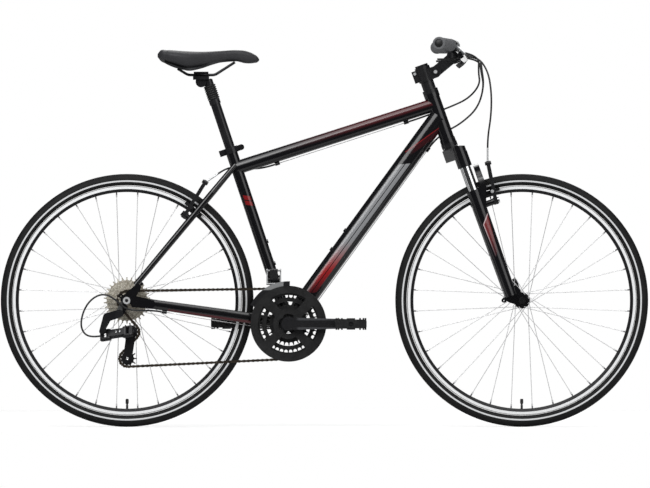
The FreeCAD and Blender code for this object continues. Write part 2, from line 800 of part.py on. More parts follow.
def make_rear_triangle():
    axle_slot = size.dropout_slot / 2 + size.weld_gap
    chain_line = (bracket_at - rear_axle_at).normalize()
    chain_side = Vector(-chain_line.z, 0, chain_line.x)
    length = float(size.chainstay_length)
    stations = [(8, size.chainstay_root, 0.8), (60, size.chainstay_root + 1, 0.95),
                (112, size.chainstay_waist, 1),
                (170, size.chainstay_waist + 3, 1), (length - 50, size.chainstay_tail, 0.85)]
    stay_sections = []
    for number, (from_bracket, left, share) in enumerate(stations):
        at = rear_axle_at + chain_line * (length - from_bracket) + LEFT * float(left)
        stay_sections.append(oval(f"chainstay_section_{number}", size.chainstay_depth / 2 * share,
                                  size.chainstay_width / 2 * (share if number == 4 else 1),
                                  placed(at, chain_line, chain_side)))
    stay = loft("chainstay_loft", stay_sections, ruled=True)
    shell_tool = cylinder("shell_seat_tool", size.shell_diameter / 2 + size.weld_gap, size.shell_width * 1.5,
                          placed(bracket_at + RIGHT * (float(size.shell_width) * 0.75), LEFT))

    # Dropout plates lie in the wheel's plane, with local x forward and local y up
    def dropout(label, left, hanger):
        reach = float(size.dropout_reach)
        forward = chain_line * reach
        back, down = -float(size.hanger_back), -float(size.hanger_down)
        place = placed(rear_axle_at + LEFT * left, RIGHT, FORWARD)
        low_arm = plate(f"{label}_low_arm", [(0, 0, size.dropout_radius), (forward.x, forward.z, 13)],
                        size.dropout_thick, place)
        high_arm = plate(f"{label}_high_arm",
                         [(0, 0, size.dropout_radius), (stay_up.x * 48, stay_up.z * 48, 9)],
                         size.dropout_thick, place)
        eyelet = plate(f"{label}_eyelet", [(-16, 12, size.eyelet_radius), (0, 6, size.eyelet_radius)],
                       size.dropout_thick, place)
        pieces = [low_arm, high_arm, eyelet]
        if hanger:
            pieces.append(plate(f"{label}_hanger", [(0, 0, 14), (back, down, size.hanger_radius)],
                                size.dropout_thick, place))
        slot = plate(f"{label}_slot", [(0, 0, axle_slot), (20, -42, axle_slot)], size.dropout_thick * 2,
                     place)
        hole = cylinder(f"{label}_eyelet_hole", size.eyelet_hole / 2, size.dropout_thick,
                        placed(rear_axle_at + Vector(-16, left - float(size.dropout_thick) / 2, 12), LEFT))
        tools = [slot, hole]
        if hanger:
            tools.append(cylinder(f"{label}_hanger_hole", size.pin_diameter + size.pin_play,
                                  size.dropout_thick,
                                  placed(rear_axle_at + Vector(back, left - float(size.dropout_thick) / 2,
                                                               down), LEFT)))
        return pieces, tools

    stop_at = (rear_axle_at + chain_line * CHAIN_STOP_BACK - chain_side * CHAIN_STOP_DROP
               + RIGHT * CHAIN_STOP_OUT)
    chain_stop = cylinder("chainstay_stop", size.stop_diameter / 2, size.stop_length,
                          placed(stop_at, chain_line))
    stop_slot = cylinder("chainstay_stop_slot", size.housing_diameter / 2 + size.pin_play,
                         size.stop_length - size.stop_floor,
                         placed(stop_at, chain_line))
    stop_web = block("chainstay_stop_web", size.stop_length, size.frame_wall * 2, size.stop_diameter,
                     placed(stop_at + chain_line * (float(size.stop_length) / 2)
                            + chain_side * float(size.stop_diameter) / 2,
                            chain_side, chain_line))
    left_plates, left_tools = dropout("left_dropout", dropout_at, False)
    right_plates, right_tools = dropout("right_dropout", -dropout_at, True)
    bridge_at = rear_axle_at + chain_line * (length - 86)
    bridge_half = Vector(0, float(size.chainstay_root), 0)
    bridge = bar_between("chainstay_bridge", bridge_at - bridge_half, bridge_at + bridge_half,
                         size.bridge_diameter / 2)
    whole = fuse("chainstays_whole", stay, mirrored("chainstay_right", stay), bridge, chain_stop, stop_web,
                 *left_plates, *right_plates)
    node("chainstays", cut("chainstays_cut", whole, shell_tool, stop_slot, *left_tools, *right_tools))

    foot = 30
    stay_length = (stay_top - stay_end).Length
    rings = [(0, size.seatstay_root, 0.9), (100, size.seatstay_root + 22, 1),
             (stay_length - 283, size.brake_post_spread, 1),
             (stay_length - foot, size.seatstay_tail, 0.85)]
    circles = []
    for number, (from_top, left, share) in enumerate(rings):
        at = stay_top - stay_up * from_top + LEFT * float(left)
        ring = doc.addObject("Part::Circle", f"seatstay_section_{number}")
        bind(ring, "Radius", size.seatstay_diameter / 2 * share)
        ring.Placement = placed(at, stay_up, stay_back)
        circles.append(ring)
    seatstay = loft("seatstay_loft", circles, ruled=True)
    post = brake_post("rear_post", on_stay, stay_back, stay_gap, size.rear_arm_out)
    seat_bridge_at = on_stay(float(size.brake_post_radius) + 92, stay_gap)
    seat_bridge_half = Vector(0, 34, 0)
    seat_bridge = bar_between("seatstay_bridge", seat_bridge_at - seat_bridge_half,
                              seat_bridge_at + seat_bridge_half, size.bridge_diameter / 2)
    seat_tool = cylinder("seatstay_seat_tool", size.seat_tube_diameter / 2 + size.weld_gap,
                         size.seat_tube_length,
                         placed(bracket_at, seat_up))
    one_side = fuse("seatstay_side", seatstay, *post)
    both = fuse("seatstays_whole", one_side, mirrored("seatstay_right", one_side), seat_bridge)
    node("seatstays", cut("seatstays_cut", both, seat_tool, nodes["chainstays"], nodes["top_tube"]))
    return stop_at, chain_line


# Headset, bottom bracket and seat collar
def make_bearings():
    cup_radius = size.cup_diameter / 2
    steerer_space = size.steerer_diameter / 2 + size.steerer_play
    gap = size.steerer_play
    low = stepped("lower_cup", [(cup_radius, size.race_height + gap, size.lower_stack)],
                  placed(on_fork(size.fork_length), steer_up), steerer_space)
    high = stepped("upper_cup", [(cup_radius - 1, 0, size.upper_stack - gap)],
                   placed(on_fork(head_high), steer_up), steerer_space)
    node("headset_cups", group("headset_cup_pair", low, high))

    half = size.shell_width / 2
    inside = size.shell_bore / 2 - size.weld_gap
    flange = size.shell_diameter / 2 - 1
    flange_thick = 3
    steps = [(flange, -half - flange_thick, -half), (inside, -half, half),
             (flange, half, half + flange_thick)]
    node("bottom_bracket_cartridge", stepped("cartridge_body", steps, placed(bracket_at, LEFT),
                                             size.spindle_diameter / 2 + size.spindle_play))

    collar_low = float(size.seat_tube_length) - float(size.collar_height) + 2
    collar_radius = size.seat_tube_diameter / 2 + size.collar_wall
    collar_place = placed(on_seat(collar_low), seat_up, seat_front)
    ring = cylinder("collar_ring", collar_radius, size.collar_height, collar_place)
    ear_middle = on_seat(collar_low + float(size.collar_height) / 2, -float(size.collar_ear) + 3)
    ears = block("collar_ears", 20, 20, size.collar_height, placed(ear_middle, seat_up, seat_front))
    slit = block("collar_slit", size.collar_ear * 2, 3, size.collar_height * 2,
                 placed(on_seat(collar_low, -float(size.collar_ear)), seat_up, seat_front))
    bore = cylinder("collar_bore", size.seat_tube_diameter / 2 + size.weld_gap,
                    float(size.collar_height) - 2, collar_place)
    top_bore = cylinder("collar_top_bore", size.seatpost_diameter / 2 + size.leg_play, size.collar_height,
                        collar_place)
    collar = cut("collar_cut", fuse("collar_whole", ring, ears), slit, bore, top_bore)
    bolt_height = collar_low + float(size.collar_height) / 2
    bolt_line = on_seat(bolt_height, -float(size.collar_ear))
    nut = cylinder("collar_nut", 7, 8, placed(bolt_line + RIGHT * 10, RIGHT))
    head = cylinder("collar_head", 6, 3, placed(bolt_line + LEFT * 10, LEFT))
    node("seat_collar", group("seat_collar_pieces", collar, nut, head))
    return bolt_line


def release_lever(label, pivot, hinge, arm_line, outward):
    """A quick-release lever: a cam barrel on its hinge and a curved flat arm that lies close to its clamp."""
    barrel = cylinder(f"{label}_barrel", size.release_barrel, 14, placed(pivot - hinge * 7, hinge))
    length = float(size.release_length)
    place = placed(pivot + outward * 3, outward, arm_line)
    arm = plate(f"{label}_arm", [(size.release_root, 0, 6), (length, 0, 8)], size.release_thick, place)
    return fuse(f"{label}_whole", barrel, arm)


# Seatpost, plunger, boot and saddle
def make_seat():
    top = float(size.seatpost_top)
    low = float(size.seat_tube_length) - float(size.seatpost_insert)
    post_radius = size.seatpost_diameter / 2
    collar = size.seatpost_collar_diameter / 2
    plunger_bore = size.plunger_diameter / 2 + size.plunger_play
    place = placed(on_seat(low), seat_up)
    height = size.seatpost_top - size.seat_tube_length + size.seatpost_insert
    steps = [(post_radius, 0, height - size.seatpost_collar_height),
             (collar, height - size.seatpost_collar_height, height)]
    node("seatpost", stepped("seatpost_body", steps, place, plunger_bore))

    boot_top = top + float(size.boot_height) + 0.6
    head_at = on_seat(boot_top + 17) - FORWARD * float(size.head_setback)
    plunger = cylinder("plunger_shaft", size.plunger_diameter / 2, boot_top + 16 - float(size.plunger_foot),
                       placed(on_seat(size.plunger_foot), seat_up))
    shoulder = cylinder("plunger_shoulder", size.seatpost_diameter / 2, 14,
                        placed(on_seat(boot_top), seat_up))
    half = float(size.head_width) / 2
    head_low = Vector(head_at.x, 0, float(size.rail_height) - float(size.rail_diameter) / 2 - 0.3)
    drum = cylinder("plunger_head", size.head_radius, size.head_width,
                    placed(head_low + RIGHT * half - UP * float(size.head_radius), LEFT))
    neck = bar_between("plunger_neck", on_seat(boot_top + 8), head_low - UP * float(size.head_radius), 11)
    rail_gap = float(size.rail_diameter) / 2 + 0.3
    cradle = block("lower_cradle", 44, float(size.rail_spacing) + 14, 9,
                   placed(head_low - UP * 4.5))
    flat = block("plunger_flat", 60, 80, 30, placed(head_low + UP * 15))
    lower = cut("plunger_lower", fuse("plunger_whole", plunger, shoulder, drum, neck, cradle), flat)
    upper = block("upper_cradle", 40, float(size.rail_spacing) + 12, 5,
                  placed(Vector(head_at.x, 0, float(size.rail_height) + rail_gap + 2.5)))
    bolt = bar_between("cradle_bolt", head_low, head_low + UP * (2 * rail_gap), 4)
    node("seatpost_plunger", group("plunger_pieces", lower, upper, bolt))

    rib = float(size.boot_height) / float(size.boot_ribs)
    rings = []
    for number in range(int(float(size.boot_ribs))):
        for share, radius in ((0.1, size.boot_waist), (0.35, size.boot_radius), (0.65, size.boot_radius),
                              (0.9, size.boot_waist)):
            ring = doc.addObject("Part::Circle", f"boot_ring_{len(rings)}")
            bind(ring, "Radius", radius)
            ring.Placement = placed(on_seat(top + 0.3 + rib * (number + share)), seat_up, seat_front)
            rings.append(ring)
    boot_solid = loft("boot_outside", rings, ruled=True)
    boot_bore = cylinder("boot_inside", size.boot_waist - size.boot_wall, size.boot_height,
                         placed(on_seat(top), seat_up))
    node("seatpost_boot", cut("boot_cut", boot_solid, boot_bore))

    rail_z = float(size.rail_height)
    spread = float(size.rail_spacing) / 2
    front = Vector(head_at.x + 93, 9, rail_z + 35)
    rail_points = [front, Vector(head_at.x + 38, spread, rail_z), Vector(head_at.x - 36, spread, rail_z),
                   Vector(head_at.x - 64, spread + 8, rail_z + 17)]
    rail = swept("saddle_rail_left", rail_points, size.rail_diameter, 24)
    stations = saddle_stations()
    base = shaped("saddle_base_solid",
                  Part.makeLoft([saddle_section(*item, base=True) for item in stations[1:-1]], True))
    cushion = shaped("saddle_cushion_solid", Part.makeLoft([saddle_section(*item) for item in stations],
                                                           True))
    rails = cut("saddle_rails_cut", group("saddle_rail_pair", rail, mirrored("saddle_rail_right", rail)),
                base, cushion)
    node("saddle_frame", group("saddle_frame_pieces", base, rails))
    node("saddle_cushion", cut("saddle_cushion_cut", cushion, base))
    return head_at


def saddle_stations():
    """Places along the saddle from the tail: (x, half width, crown height, side height, lower edge)."""
    back = -float(size.saddle_back)
    length = float(size.saddle_length)
    half = float(size.saddle_width) / 2
    top = float(size.saddle_top)
    shape = [(0.0, 0.45, 6, 16, 22), (0.07, 0.86, 2, 14, 36), (0.19, 1.0, 2, 13, 50), (0.34, 0.9, 3, 13, 55),
             (0.5, 0.52, 2, 10, 42), (0.66, 0.3, 1, 8, 33), (0.84, 0.25, 1, 8, 31), (0.96, 0.2, 5, 13, 31),
             (1.0, 0.08, 14, 19, 29)]
    return [(back + length * share, half * wide, top - crown, top - side, top - low)
            for share, wide, crown, side, low in shape]


def saddle_section(x, half, crown, side, low, base=False):
    """One cross-section: a domed top over drawn-in sides, or the thin base under it."""
    edge = half * 0.94
    if base:
        edge = half * 0.9
        side = crown = low + float(size.base_thick)
    corners = [Vector(x, edge, low), Vector(x, -edge, low), Vector(x, -half if not base else -edge, side),
               Vector(x, half if not base else edge, side)]
    top = (Part.LineSegment(corners[2], corners[3]) if base
           else Part.Arc(corners[2], Vector(x, 0, crown), corners[3]))
    edges = [Part.LineSegment(corners[0], corners[1]), Part.LineSegment(corners[1], corners[2]), top,
             Part.LineSegment(corners[3], corners[0])]
    return Part.Wire([edge.toShape() for edge in edges])


# Fork: crown with steerer and stanchions above, legs with the arch below
def make_fork():
    offset, spread = float(size.leg_offset), float(size.leg_spread)
    race = float(size.fork_length)
    crown_low = race - float(size.crown_height)
    steerer = cylinder("steerer", size.steerer_diameter / 2, stem_high - crown_low,
                       placed(on_fork(crown_low), steer_up))
    crown_place = placed(on_fork((race + crown_low) / 2), steer_up, steer_front)
    crown = plate("crown_plate", [(0, 0, size.crown_middle), (offset, -spread, size.socket_radius - 1),
                                  (offset, spread, size.socket_radius - 1)], size.crown_height, crown_place)
    slope = block("crown_slope", 200, 260, 40,
                  placed(on_fork(race + 18, 34), steer_up * 0.94 + steer_front * 0.34, LEFT))
    socket_height = float(size.socket_top) - float(size.socket_low)
    sockets = [cylinder(f"crown_socket_{side}", size.socket_radius, socket_height,
                        placed(on_fork(size.socket_low, offset, side * spread), steer_up))
               for side in (-1, 1)]
    bores = [cylinder(f"crown_bore_{side}", size.stanchion_diameter / 2 + size.weld_gap, socket_height + 2,
                      placed(on_fork(float(size.socket_low) - 1, offset, side * spread),
                             steer_up)) for side in (-1, 1)]
    crown_body = cut("crown_sloped", crown, slope)
    node("fork_crown", cut("fork_crown_cut", fuse("fork_crown_whole", crown_body, steerer, *sockets), *bores))
    tubes = [cylinder(f"stanchion_{side}", size.stanchion_diameter / 2,
                      float(size.socket_top) - float(size.stanchion_low),
                      placed(on_fork(size.stanchion_low, offset, side * spread), steer_up))
             for side in (-1, 1)]
    node("stanchions", group("stanchion_pair", *tubes))

    foot = float(size.leg_foot)
    top = float(size.leg_top)
    leg_bore = size.stanchion_diameter / 2 + size.leg_play
    steps = [(size.leg_radius + 1, size.leg_top - foot - size.leg_collar_height, size.leg_top - foot)]
    sleeve = stepped("leg_collar", steps, placed(on_fork(foot, offset, spread), steer_up))
    cone = doc.addObject("Part::Cone", "leg_taper")
    bind(cone, "Radius1", size.leg_foot_radius)
    bind(cone, "Radius2", size.leg_radius)
    bind(cone, "Height", size.leg_top - foot)
    cone.Placement = placed(on_fork(foot, offset, spread), steer_up)
    bore_low = float(size.stanchion_low) - float(size.fork_travel) - float(size.fork_bottom_gap)
    bore = cylinder("leg_bore", leg_bore, top - bore_low, placed(on_fork(bore_low, offset, spread), steer_up))
    rake = float(size.fork_rake)
    inner = float(size.front_spacing) / 2
    ear_place = placed(on_fork(0, 0, inner + float(size.fork_dropout_thick) / 2), RIGHT, steer_front)
    ear = plate("fork_dropout", [(offset, 46, size.leg_foot_radius), (offset - 4, 14, 10),
                                 (rake, 0, size.fork_dropout_radius)], size.fork_dropout_thick, ear_place)
    eyelet = plate("fork_eyelet", [(offset, 26, size.eyelet_radius), (offset - 22, 16, size.eyelet_radius)],
                   size.fork_dropout_thick, ear_place)
    slot = plate("fork_slot",
                 [(rake, 0, float(size.axle_diameter) / 2), (rake - 6, -40, float(size.axle_diameter) / 2)],
                 float(size.fork_dropout_thick) * 2, ear_place)
    eyelet_hole = cylinder("fork_eyelet_hole", size.eyelet_hole / 2, size.fork_dropout_thick,
                           placed(on_fork(16, offset - 22, inner), LEFT))
    post = brake_post("front_post", on_leg, steer_front, offset - rake, size.front_arm_out)
    side = fuse("leg_side", cone, sleeve, ear, eyelet, *post)
    side_cut = cut("leg_side_cut", side, bore, slot, eyelet_hole)

    band = float(size.arch_band)
    crest = float(size.arch_top)
    foot_height = float(size.arch_foot)

    def arch_outline(height, half):
        """A round-topped gate from the legs up over the tyre, in the plane across the fork."""
        start, end = Vector(half, foot_height, 0), Vector(-half, foot_height, 0)
        left, right = Vector(half, height - half, 0), Vector(-half, height - half, 0)
        return Part.Wire([Part.LineSegment(start, left).toShape(),
                          Part.Arc(left, Vector(0, height, 0), right).toShape(),
                          Part.LineSegment(right, end).toShape(), Part.LineSegment(end, start).toShape()])

    outside = Part.Face(arch_outline(crest, spread + 12))
    inside = Part.Face(arch_outline(crest - band, spread + 12 - band - 4))
    deep = float(size.arch_far) - float(size.arch_near)
    gate = outside.cut(inside).extrude(Vector(0, 0, deep))
    place = placed(on_fork(0, offset + float(size.arch_near)), steer_front, LEFT)
    arch = shaped("fork_arch", Part.makeCompound(gate.Solids).Solids[0], place)
    root_radius = float(size.arch_root_radius)
    root_low, root_high = float(size.arch_root_low), float(size.arch_root_high)
    root_outline = [(offset + float(size.leg_radius) - root_radius, root_low, root_radius),
                    (offset + float(size.arch_far) - deep / 2, root_high, deep / 2),
                    (offset + 5, root_high - root_radius - 3, root_radius)]
    roots = []
    for hand in (-1, 1):
        roots.append(plate(f"arch_root_{hand}", root_outline, size.arch_root_thick,
                           placed(on_fork(0, 0, hand * spread), RIGHT, steer_front)))
    space = [cylinder(f"arch_space_{hand}", leg_bore, 260,
                      placed(on_fork(200, offset, hand * spread), steer_up))
             for hand in (-1, 1)]
    gate_whole = cut("arch_cut", fuse("arch_whole", arch, *roots), *space)
    node("fork_lowers", fuse("fork_lowers_whole", side_cut, mirrored("leg_right", side_cut), gate_whole))


# Wheels
def make_tyre(name, centre):
    flange = size.bead_seat_diameter / 2 + size.rim_flange + 0.7
    outer = size.bead_seat_diameter / 2 + size.tyre_height
    ring = (outer * outer - flange * flange - size.bead_half * size.bead_half) / (2 * (outer - flange))
    section = outer - ring
    place = placed(centre, LEFT, FORWARD)
    crown = torus(f"{name}_outside", ring, section, place)
    hollow = torus(f"{name}_inside", ring, section - size.tyre_wall, place)
    half = float(size.rim_width) * 2
    trim = cylinder(f"{name}_trim", flange, 2 * half, placed(centre + RIGHT * half, LEFT))
    casing = cut(f"{name}_casing", crown, hollow, trim)
    bead_low = size.bead_seat_diameter / 2 + 0.3
    beads = []
    for side, start in (("left", float(size.bead_half) - float(size.bead_thick)),
                        ("right", -float(size.bead_half))):
        at = placed(centre + LEFT * start, LEFT)
        beads.append(tube(f"{name}_bead_{side}", flange, bead_low, size.bead_thick, at))
    whole = fuse(f"{name}_whole", casing, *beads)
    inner = torus(f"{name}_inner_tube", ring, size.tube_radius, place)
    stem_end = size.bead_seat_diameter / 2 + size.rim_flange - size.rim_depth - size.valve_length
    stem_foot = centre - UP * float(stem_end)
    valve = cylinder(f"{name}_valve", size.valve_diameter / 2, float(ring) - float(stem_end),
                     placed(stem_foot, -UP))
    node(name, group(f"{name}_pieces", whole, fuse(f"{name}_tube", inner, valve)))


def make_rim(name, centre):
    top = size.bead_seat_diameter / 2 + size.rim_flange
    low = top - size.rim_depth
    bed = size.bead_seat_diameter / 2 - size.rim_bed_drop
    seat = size.bead_seat_diameter / 2
    half = size.rim_width / 2
    lip = half - size.rim_lip
    waist = size.rim_waist / 2
    track = top - size.rim_track
    outline = [(top, half), (track, half), (low, waist), (low, -waist), (track, -half), (top, -half),
               (top, -lip),
               (seat, -lip), (bed, -waist + 1), (bed, waist - 1), (seat, lip), (top, lip)]
    wall = size.rim_wall
    chamber = [(track - 0.5, half - wall), (low + wall, waist - 1), (low + wall, -waist + 1),
               (track - 0.5, -half + wall)]
    body = turned(f"{name}_body", [outline, chamber], placed(centre, LEFT))
    hole = cylinder(f"{name}_valve_hole", size.valve_diameter / 2 + size.valve_play, seat,
                    placed(centre, -UP))
    node(name, cut(f"{name}_cut", body, hole))


def make_spokes(name, centre, flanges, flange_radius):
    """Crossed spokes: each runs from its flange hole to a rim hole turned forward or back."""
    count = int(float(size.spoke_count))
    hole_radius = float(flange_radius) - float(size.spoke_hole_inset)
    rim_radius = float(size.bead_seat_diameter) / 2 + float(size.rim_flange) - float(size.rim_depth) - 0.35
    solids = []
    for number in range(count):
        side = 1 if number % 2 == 0 else -1
        lean = 1 if (number // 2) % 2 == 0 else -1
        rim_turn = math.radians(-90 + (number + 0.5) * 360 / count)
        hub_turn = rim_turn + lean * math.radians(float(size.spoke_cross))
        face = float(size.flange_thick) / 2 + float(size.spoke_diameter) / 2 + 0.1
        hub_side = side * float(flanges[side]) + lean * face
        start = centre + Vector(hole_radius * math.cos(hub_turn), hub_side, hole_radius * math.sin(hub_turn))
        end = centre + Vector(rim_radius * math.cos(rim_turn), side * 2.5, rim_radius * math.sin(rim_turn))
        line = end - start
        wire = Part.makeCylinder(float(size.spoke_diameter) / 2, line.Length, start, line)
        grip = float(size.nipple_length)
        nipple = Part.makeCylinder(float(size.nipple_diameter) / 2, grip, end - line * (grip / line.Length),
                                   line)
        solids.append(wire.fuse(nipple).removeSplitter().Solids[0])
    node(name, shaped(f"{name}_set", Part.makeCompound(solids)))


def make_wheels():
    axle_bore = size.axle_diameter / 2 + size.axle_play
    half = size.flange_thick / 2
    barrel = size.hub_barrel_radius
    for wheel, centre in (("front", front_axle_at), ("rear", rear_axle_at)):
        make_tyre(f"{wheel}_tyre", centre)
        make_rim(f"{wheel}_rim", centre)

    front_end = size.front_spacing / 2 - size.locknut_thick - size.link_play
    place = placed(front_axle_at, LEFT)
    flange = size.front_flange_radius
    steps = [(barrel, -front_end, -size.front_flange - half),
             (flange, -size.front_flange - half, -size.front_flange + half),
             (barrel, -size.front_flange + half, size.front_flange - half),
             (flange, size.front_flange - half, size.front_flange + half),
             (barrel, size.front_flange + half, front_end)]
    node("front_hub", stepped("front_hub_body", steps, place, axle_bore))
    make_spokes("front_spokes", front_axle_at, {1: size.front_flange, -1: size.front_flange}, flange)

    rear_end = size.rear_spacing / 2 - size.locknut_thick - size.link_play
    place = placed(rear_axle_at, LEFT)
    flange = size.rear_flange_radius
    left, right = size.rear_left_flange, size.rear_right_flange
    steps = [(barrel + 4, -right - 3, -right - half), (flange, -right - half, -right + half),
             (barrel + 2, -right + half, left - half), (flange, left - half, left + half),
             (barrel, left + half, rear_end)]
    node("rear_hub", stepped("rear_hub_body", steps, place, axle_bore))
    make_spokes("rear_spokes", rear_axle_at, {1: left, -1: right}, flange)

    for wheel, centre, spacing, thick in (("front", front_axle_at, size.front_spacing,
                                           size.fork_dropout_thick),
                                          ("rear", rear_axle_at, size.rear_spacing, size.dropout_thick)):
        inner = spacing / 2
        outer = inner + thick
        pin = size.axle_diameter / 2
        clamp = outer + size.nut_thick
        steps = [(size.nut_radius, -clamp, -outer), (pin, -outer, -inner),
                 (size.locknut_radius, -inner, -inner + size.locknut_thick),
                 (pin, -inner + size.locknut_thick, inner - size.locknut_thick),
                 (size.locknut_radius, inner - size.locknut_thick, inner), (pin, inner, outer),
                 (size.nut_radius - 1, outer, clamp - 2)]
        node(f"{wheel}_axle", stepped(f"{wheel}_axle_body", steps, placed(centre, LEFT)))


# Chain drive
chain_y = -float(size.chain_plane)


def pitch_radius(teeth):
    return float(teeth) * float(size.chain_pitch) / (2 * math.pi)


def belt(wheels, offset=0.0):
    """The closed line round wheels of (centre, radius, sense), offset to its left: points and length."""
    tangents = []
    for index in range(len(wheels)):
        here, there = wheels[index], wheels[(index + 1) % len(wheels)]
        gap = there[0] - here[0]
        first = here[2] * here[1] + offset
        second = there[2] * there[1] + offset
        heading = math.atan2(gap.z, gap.x) - math.asin((first - second) / gap.Length)
        aside = Vector(-math.sin(heading), 0, math.cos(heading))
        tangents.append((here[0] + aside * first, there[0] + aside * second))
    length = 0.0
    arcs = []
    for index in range(len(wheels)):
        centre, radius, sense = wheels[index]
        enter, leave = tangents[index - 1][1], tangents[index][0]
        start = math.atan2(enter.z - centre.z, enter.x - centre.x)
        end = math.atan2(leave.z - centre.z, leave.x - centre.x)
        turn = -sense * ((sense * (start - end)) % (2 * math.pi))
        reach = radius + sense * offset
        arcs.append((centre, reach, start, turn))
        length += abs(turn) * reach + (tangents[index][1] - leave).Length
    return tangents, arcs, length


def circle_point(centre, radius, turn):
    return centre + Vector(radius * math.cos(turn), 0, radius * math.sin(turn))


def belt_wire(wheels, offset):
    tangents, arcs, _ = belt(wheels, offset)
    edges = []
    for (leave, enter), (centre, radius, start, turn) in zip(tangents, arcs):
        rim = [circle_point(centre, radius, start + turn * share) for share in (0, 0.5, 1)]
        edges.append(Part.Arc(*rim).toShape())
        edges.append(Part.LineSegment(rim[2], enter).toShape())
    return Part.Wire(edges)


def chain_wheels(cage_turn):
    """The four wheels that the chain runs on, in its running order."""
    guide = rear_axle_at + Vector(float(size.cage_back), 0, -float(size.cage_down))
    arm = Vector(math.sin(cage_turn), 0, -math.cos(cage_turn)) * float(size.cage_length)
    pulley = pitch_radius(size.pulley_teeth)
    wheels = [(rear_axle_at, pitch_radius(COGS[1]), 1), (bracket_at, pitch_radius(size.big_ring_teeth), 1),
              (guide + arm, pulley, 1), (guide, pulley, -1)]
    return [(centre + LEFT * chain_y, radius, sense) for centre, radius, sense in wheels]


COGS = (11, 13, 15, 17, 20, 23, 26, 30)
CAGE_REST_GUESS = math.radians(-4)


def settle_cage():
    """The cage swings until the chain is a whole number of link pairs long."""
    pitch = float(size.chain_pitch)
    links = 2 * round(belt(chain_wheels(CAGE_REST_GUESS))[2] / (2 * pitch))
    low, high = math.radians(-50), math.radians(50)
    for _ in range(60):
        middle = (low + high) / 2
        if belt(chain_wheels(middle))[2] > links * pitch:
            low = middle
        else:
            high = middle
    return middle, links


def toothed(teeth, thick, inner, phase):
    """A toothed disc with round roller seats, its first seat at the phase angle, flat in its own XY plane."""
    teeth = int(float(teeth))
    pitch = pitch_radius(teeth)
    seat = float(size.roller_diameter) / 2 + float(size.seat_play)
    tip = pitch + float(size.tooth_height)
    step = 2 * math.pi / teeth
    half_seat = math.asin(min(0.95, seat / pitch)) * 0.92
    half_tip = step * 0.09
    edges = []
    for number in range(teeth):
        middle = phase + number * step
        corners = [Vector(radius * math.cos(turn), radius * math.sin(turn), 0) for radius, turn in
                   ((pitch + 1.0, middle - half_seat), (pitch - seat, middle),
                    (pitch + 1.0, middle + half_seat),
                    (tip, middle + step / 2 - half_tip), (tip, middle + step / 2 + half_tip),
                    (pitch + 1.0, middle + step - half_seat))]
        edges.append(Part.Arc(*corners[:3]).toShape())
        edges += [Part.LineSegment(a, b).toShape() for a, b in zip(corners[2:], corners[3:])]
    face = Part.Face(Part.Wire(edges))
    solid = face.extrude(Vector(0, 0, float(thick)))
    if inner:
        solid = solid.cut(Part.makeCylinder(float(inner), float(thick)))
    solid.translate(Vector(0, 0, -float(thick) / 2))
    return solid.Solids[0]


def seat_phase(rollers, centre):
    """The direction of the roller that lies deepest on a wheel."""
    nearest = min(rollers, key=lambda point: abs((point - centre).Length))
    return math.atan2(nearest.z - centre.z, nearest.x - centre.x)


def flat_wheel(label, solid, centre):
    """Stands a flat disc up in the wheel's plane, so that its own X stays forward and its own Y points up."""
    return shaped(label, solid, FreeCAD.Placement(centre, FreeCAD.Rotation(FORWARD, UP, RIGHT, "ZXY")))


def make_chain():
    cage_turn, links = settle_cage()
    wheels = chain_wheels(cage_turn)
    tangents, arcs, length = belt(wheels)
    half = float(size.chain_height) / 2
    face = Part.Face(belt_wire(wheels, half)).cut(Part.Face(belt_wire(wheels, -half)))
    roller_half = float(size.roller_width) / 2
    thick = float(size.plate_thick)
    bands = []
    for start in (-roller_half - thick, roller_half):
        band = face.extrude(LEFT * thick)
        band.translate(LEFT * start)
        bands.append(band.Solids[0])
    rollers = []
    spots = []
    pieces = []
    for (leave, enter), (centre, radius, start, turn) in zip(tangents, arcs):
        pieces.append((abs(turn) * radius, centre, radius, start, turn))
        pieces.append(((enter - leave).Length, leave, enter))
    step = length / links
    for number in range(links):
        walk = number * step + step / 2
        for piece in pieces:
            if walk <= piece[0]:
                break
            walk -= piece[0]
        share = walk / piece[0]
        if len(piece) == 3:
            spot = piece[1] + (piece[2] - piece[1]) * share
        else:
            spot = circle_point(piece[1], piece[2], piece[3] + piece[4] * share)
        spots.append(spot)
        rollers.append(Part.makeCylinder(float(size.roller_diameter) / 2, 2 * roller_half,
                                         spot + RIGHT * roller_half, LEFT))
    node("chain", shaped("chain_pieces", Part.makeCompound(bands + rollers)))
    print(f"chain: {links} links, {length:.1f} long, cage turned {math.degrees(cage_turn):.1f}")
    return wheels, spots, cage_turn


def make_cassette(spots):
    pitch = float(size.sprocket_pitch)
    first = float(size.chain_plane) + pitch
    solids = []
    phase = seat_phase(spots, rear_axle_at + LEFT * chain_y)
    for number, teeth in enumerate(COGS):
        centre = rear_axle_at + RIGHT * (first - number * pitch)
        solids.append(flat_wheel(f"cog_{teeth}", toothed(teeth, size.sprocket_thick, size.freehub_radius,
                                                         phase), centre))
    inner = float(size.rear_right_flange) + 3 + float(size.link_play)
    outer = float(size.rear_spacing) / 2 - float(size.locknut_thick) - float(size.link_play)
    body = stepped("freehub_body", [(size.freehub_radius - size.weld_gap, inner, outer)],
                   placed(rear_axle_at, RIGHT), size.axle_diameter / 2 + size.axle_play)
    spacers = []
    for number in range(len(COGS) - 1):
        start = first - number * pitch - float(size.sprocket_thick) / 2
        spacers.append(tube(f"cog_spacer_{number}", size.freehub_radius + 3, size.freehub_radius,
                            size.sprocket_pitch - size.sprocket_thick,
                            placed(rear_axle_at + RIGHT * start, LEFT)))
    node("cassette", group("cassette_pieces", body, *solids, *spacers))


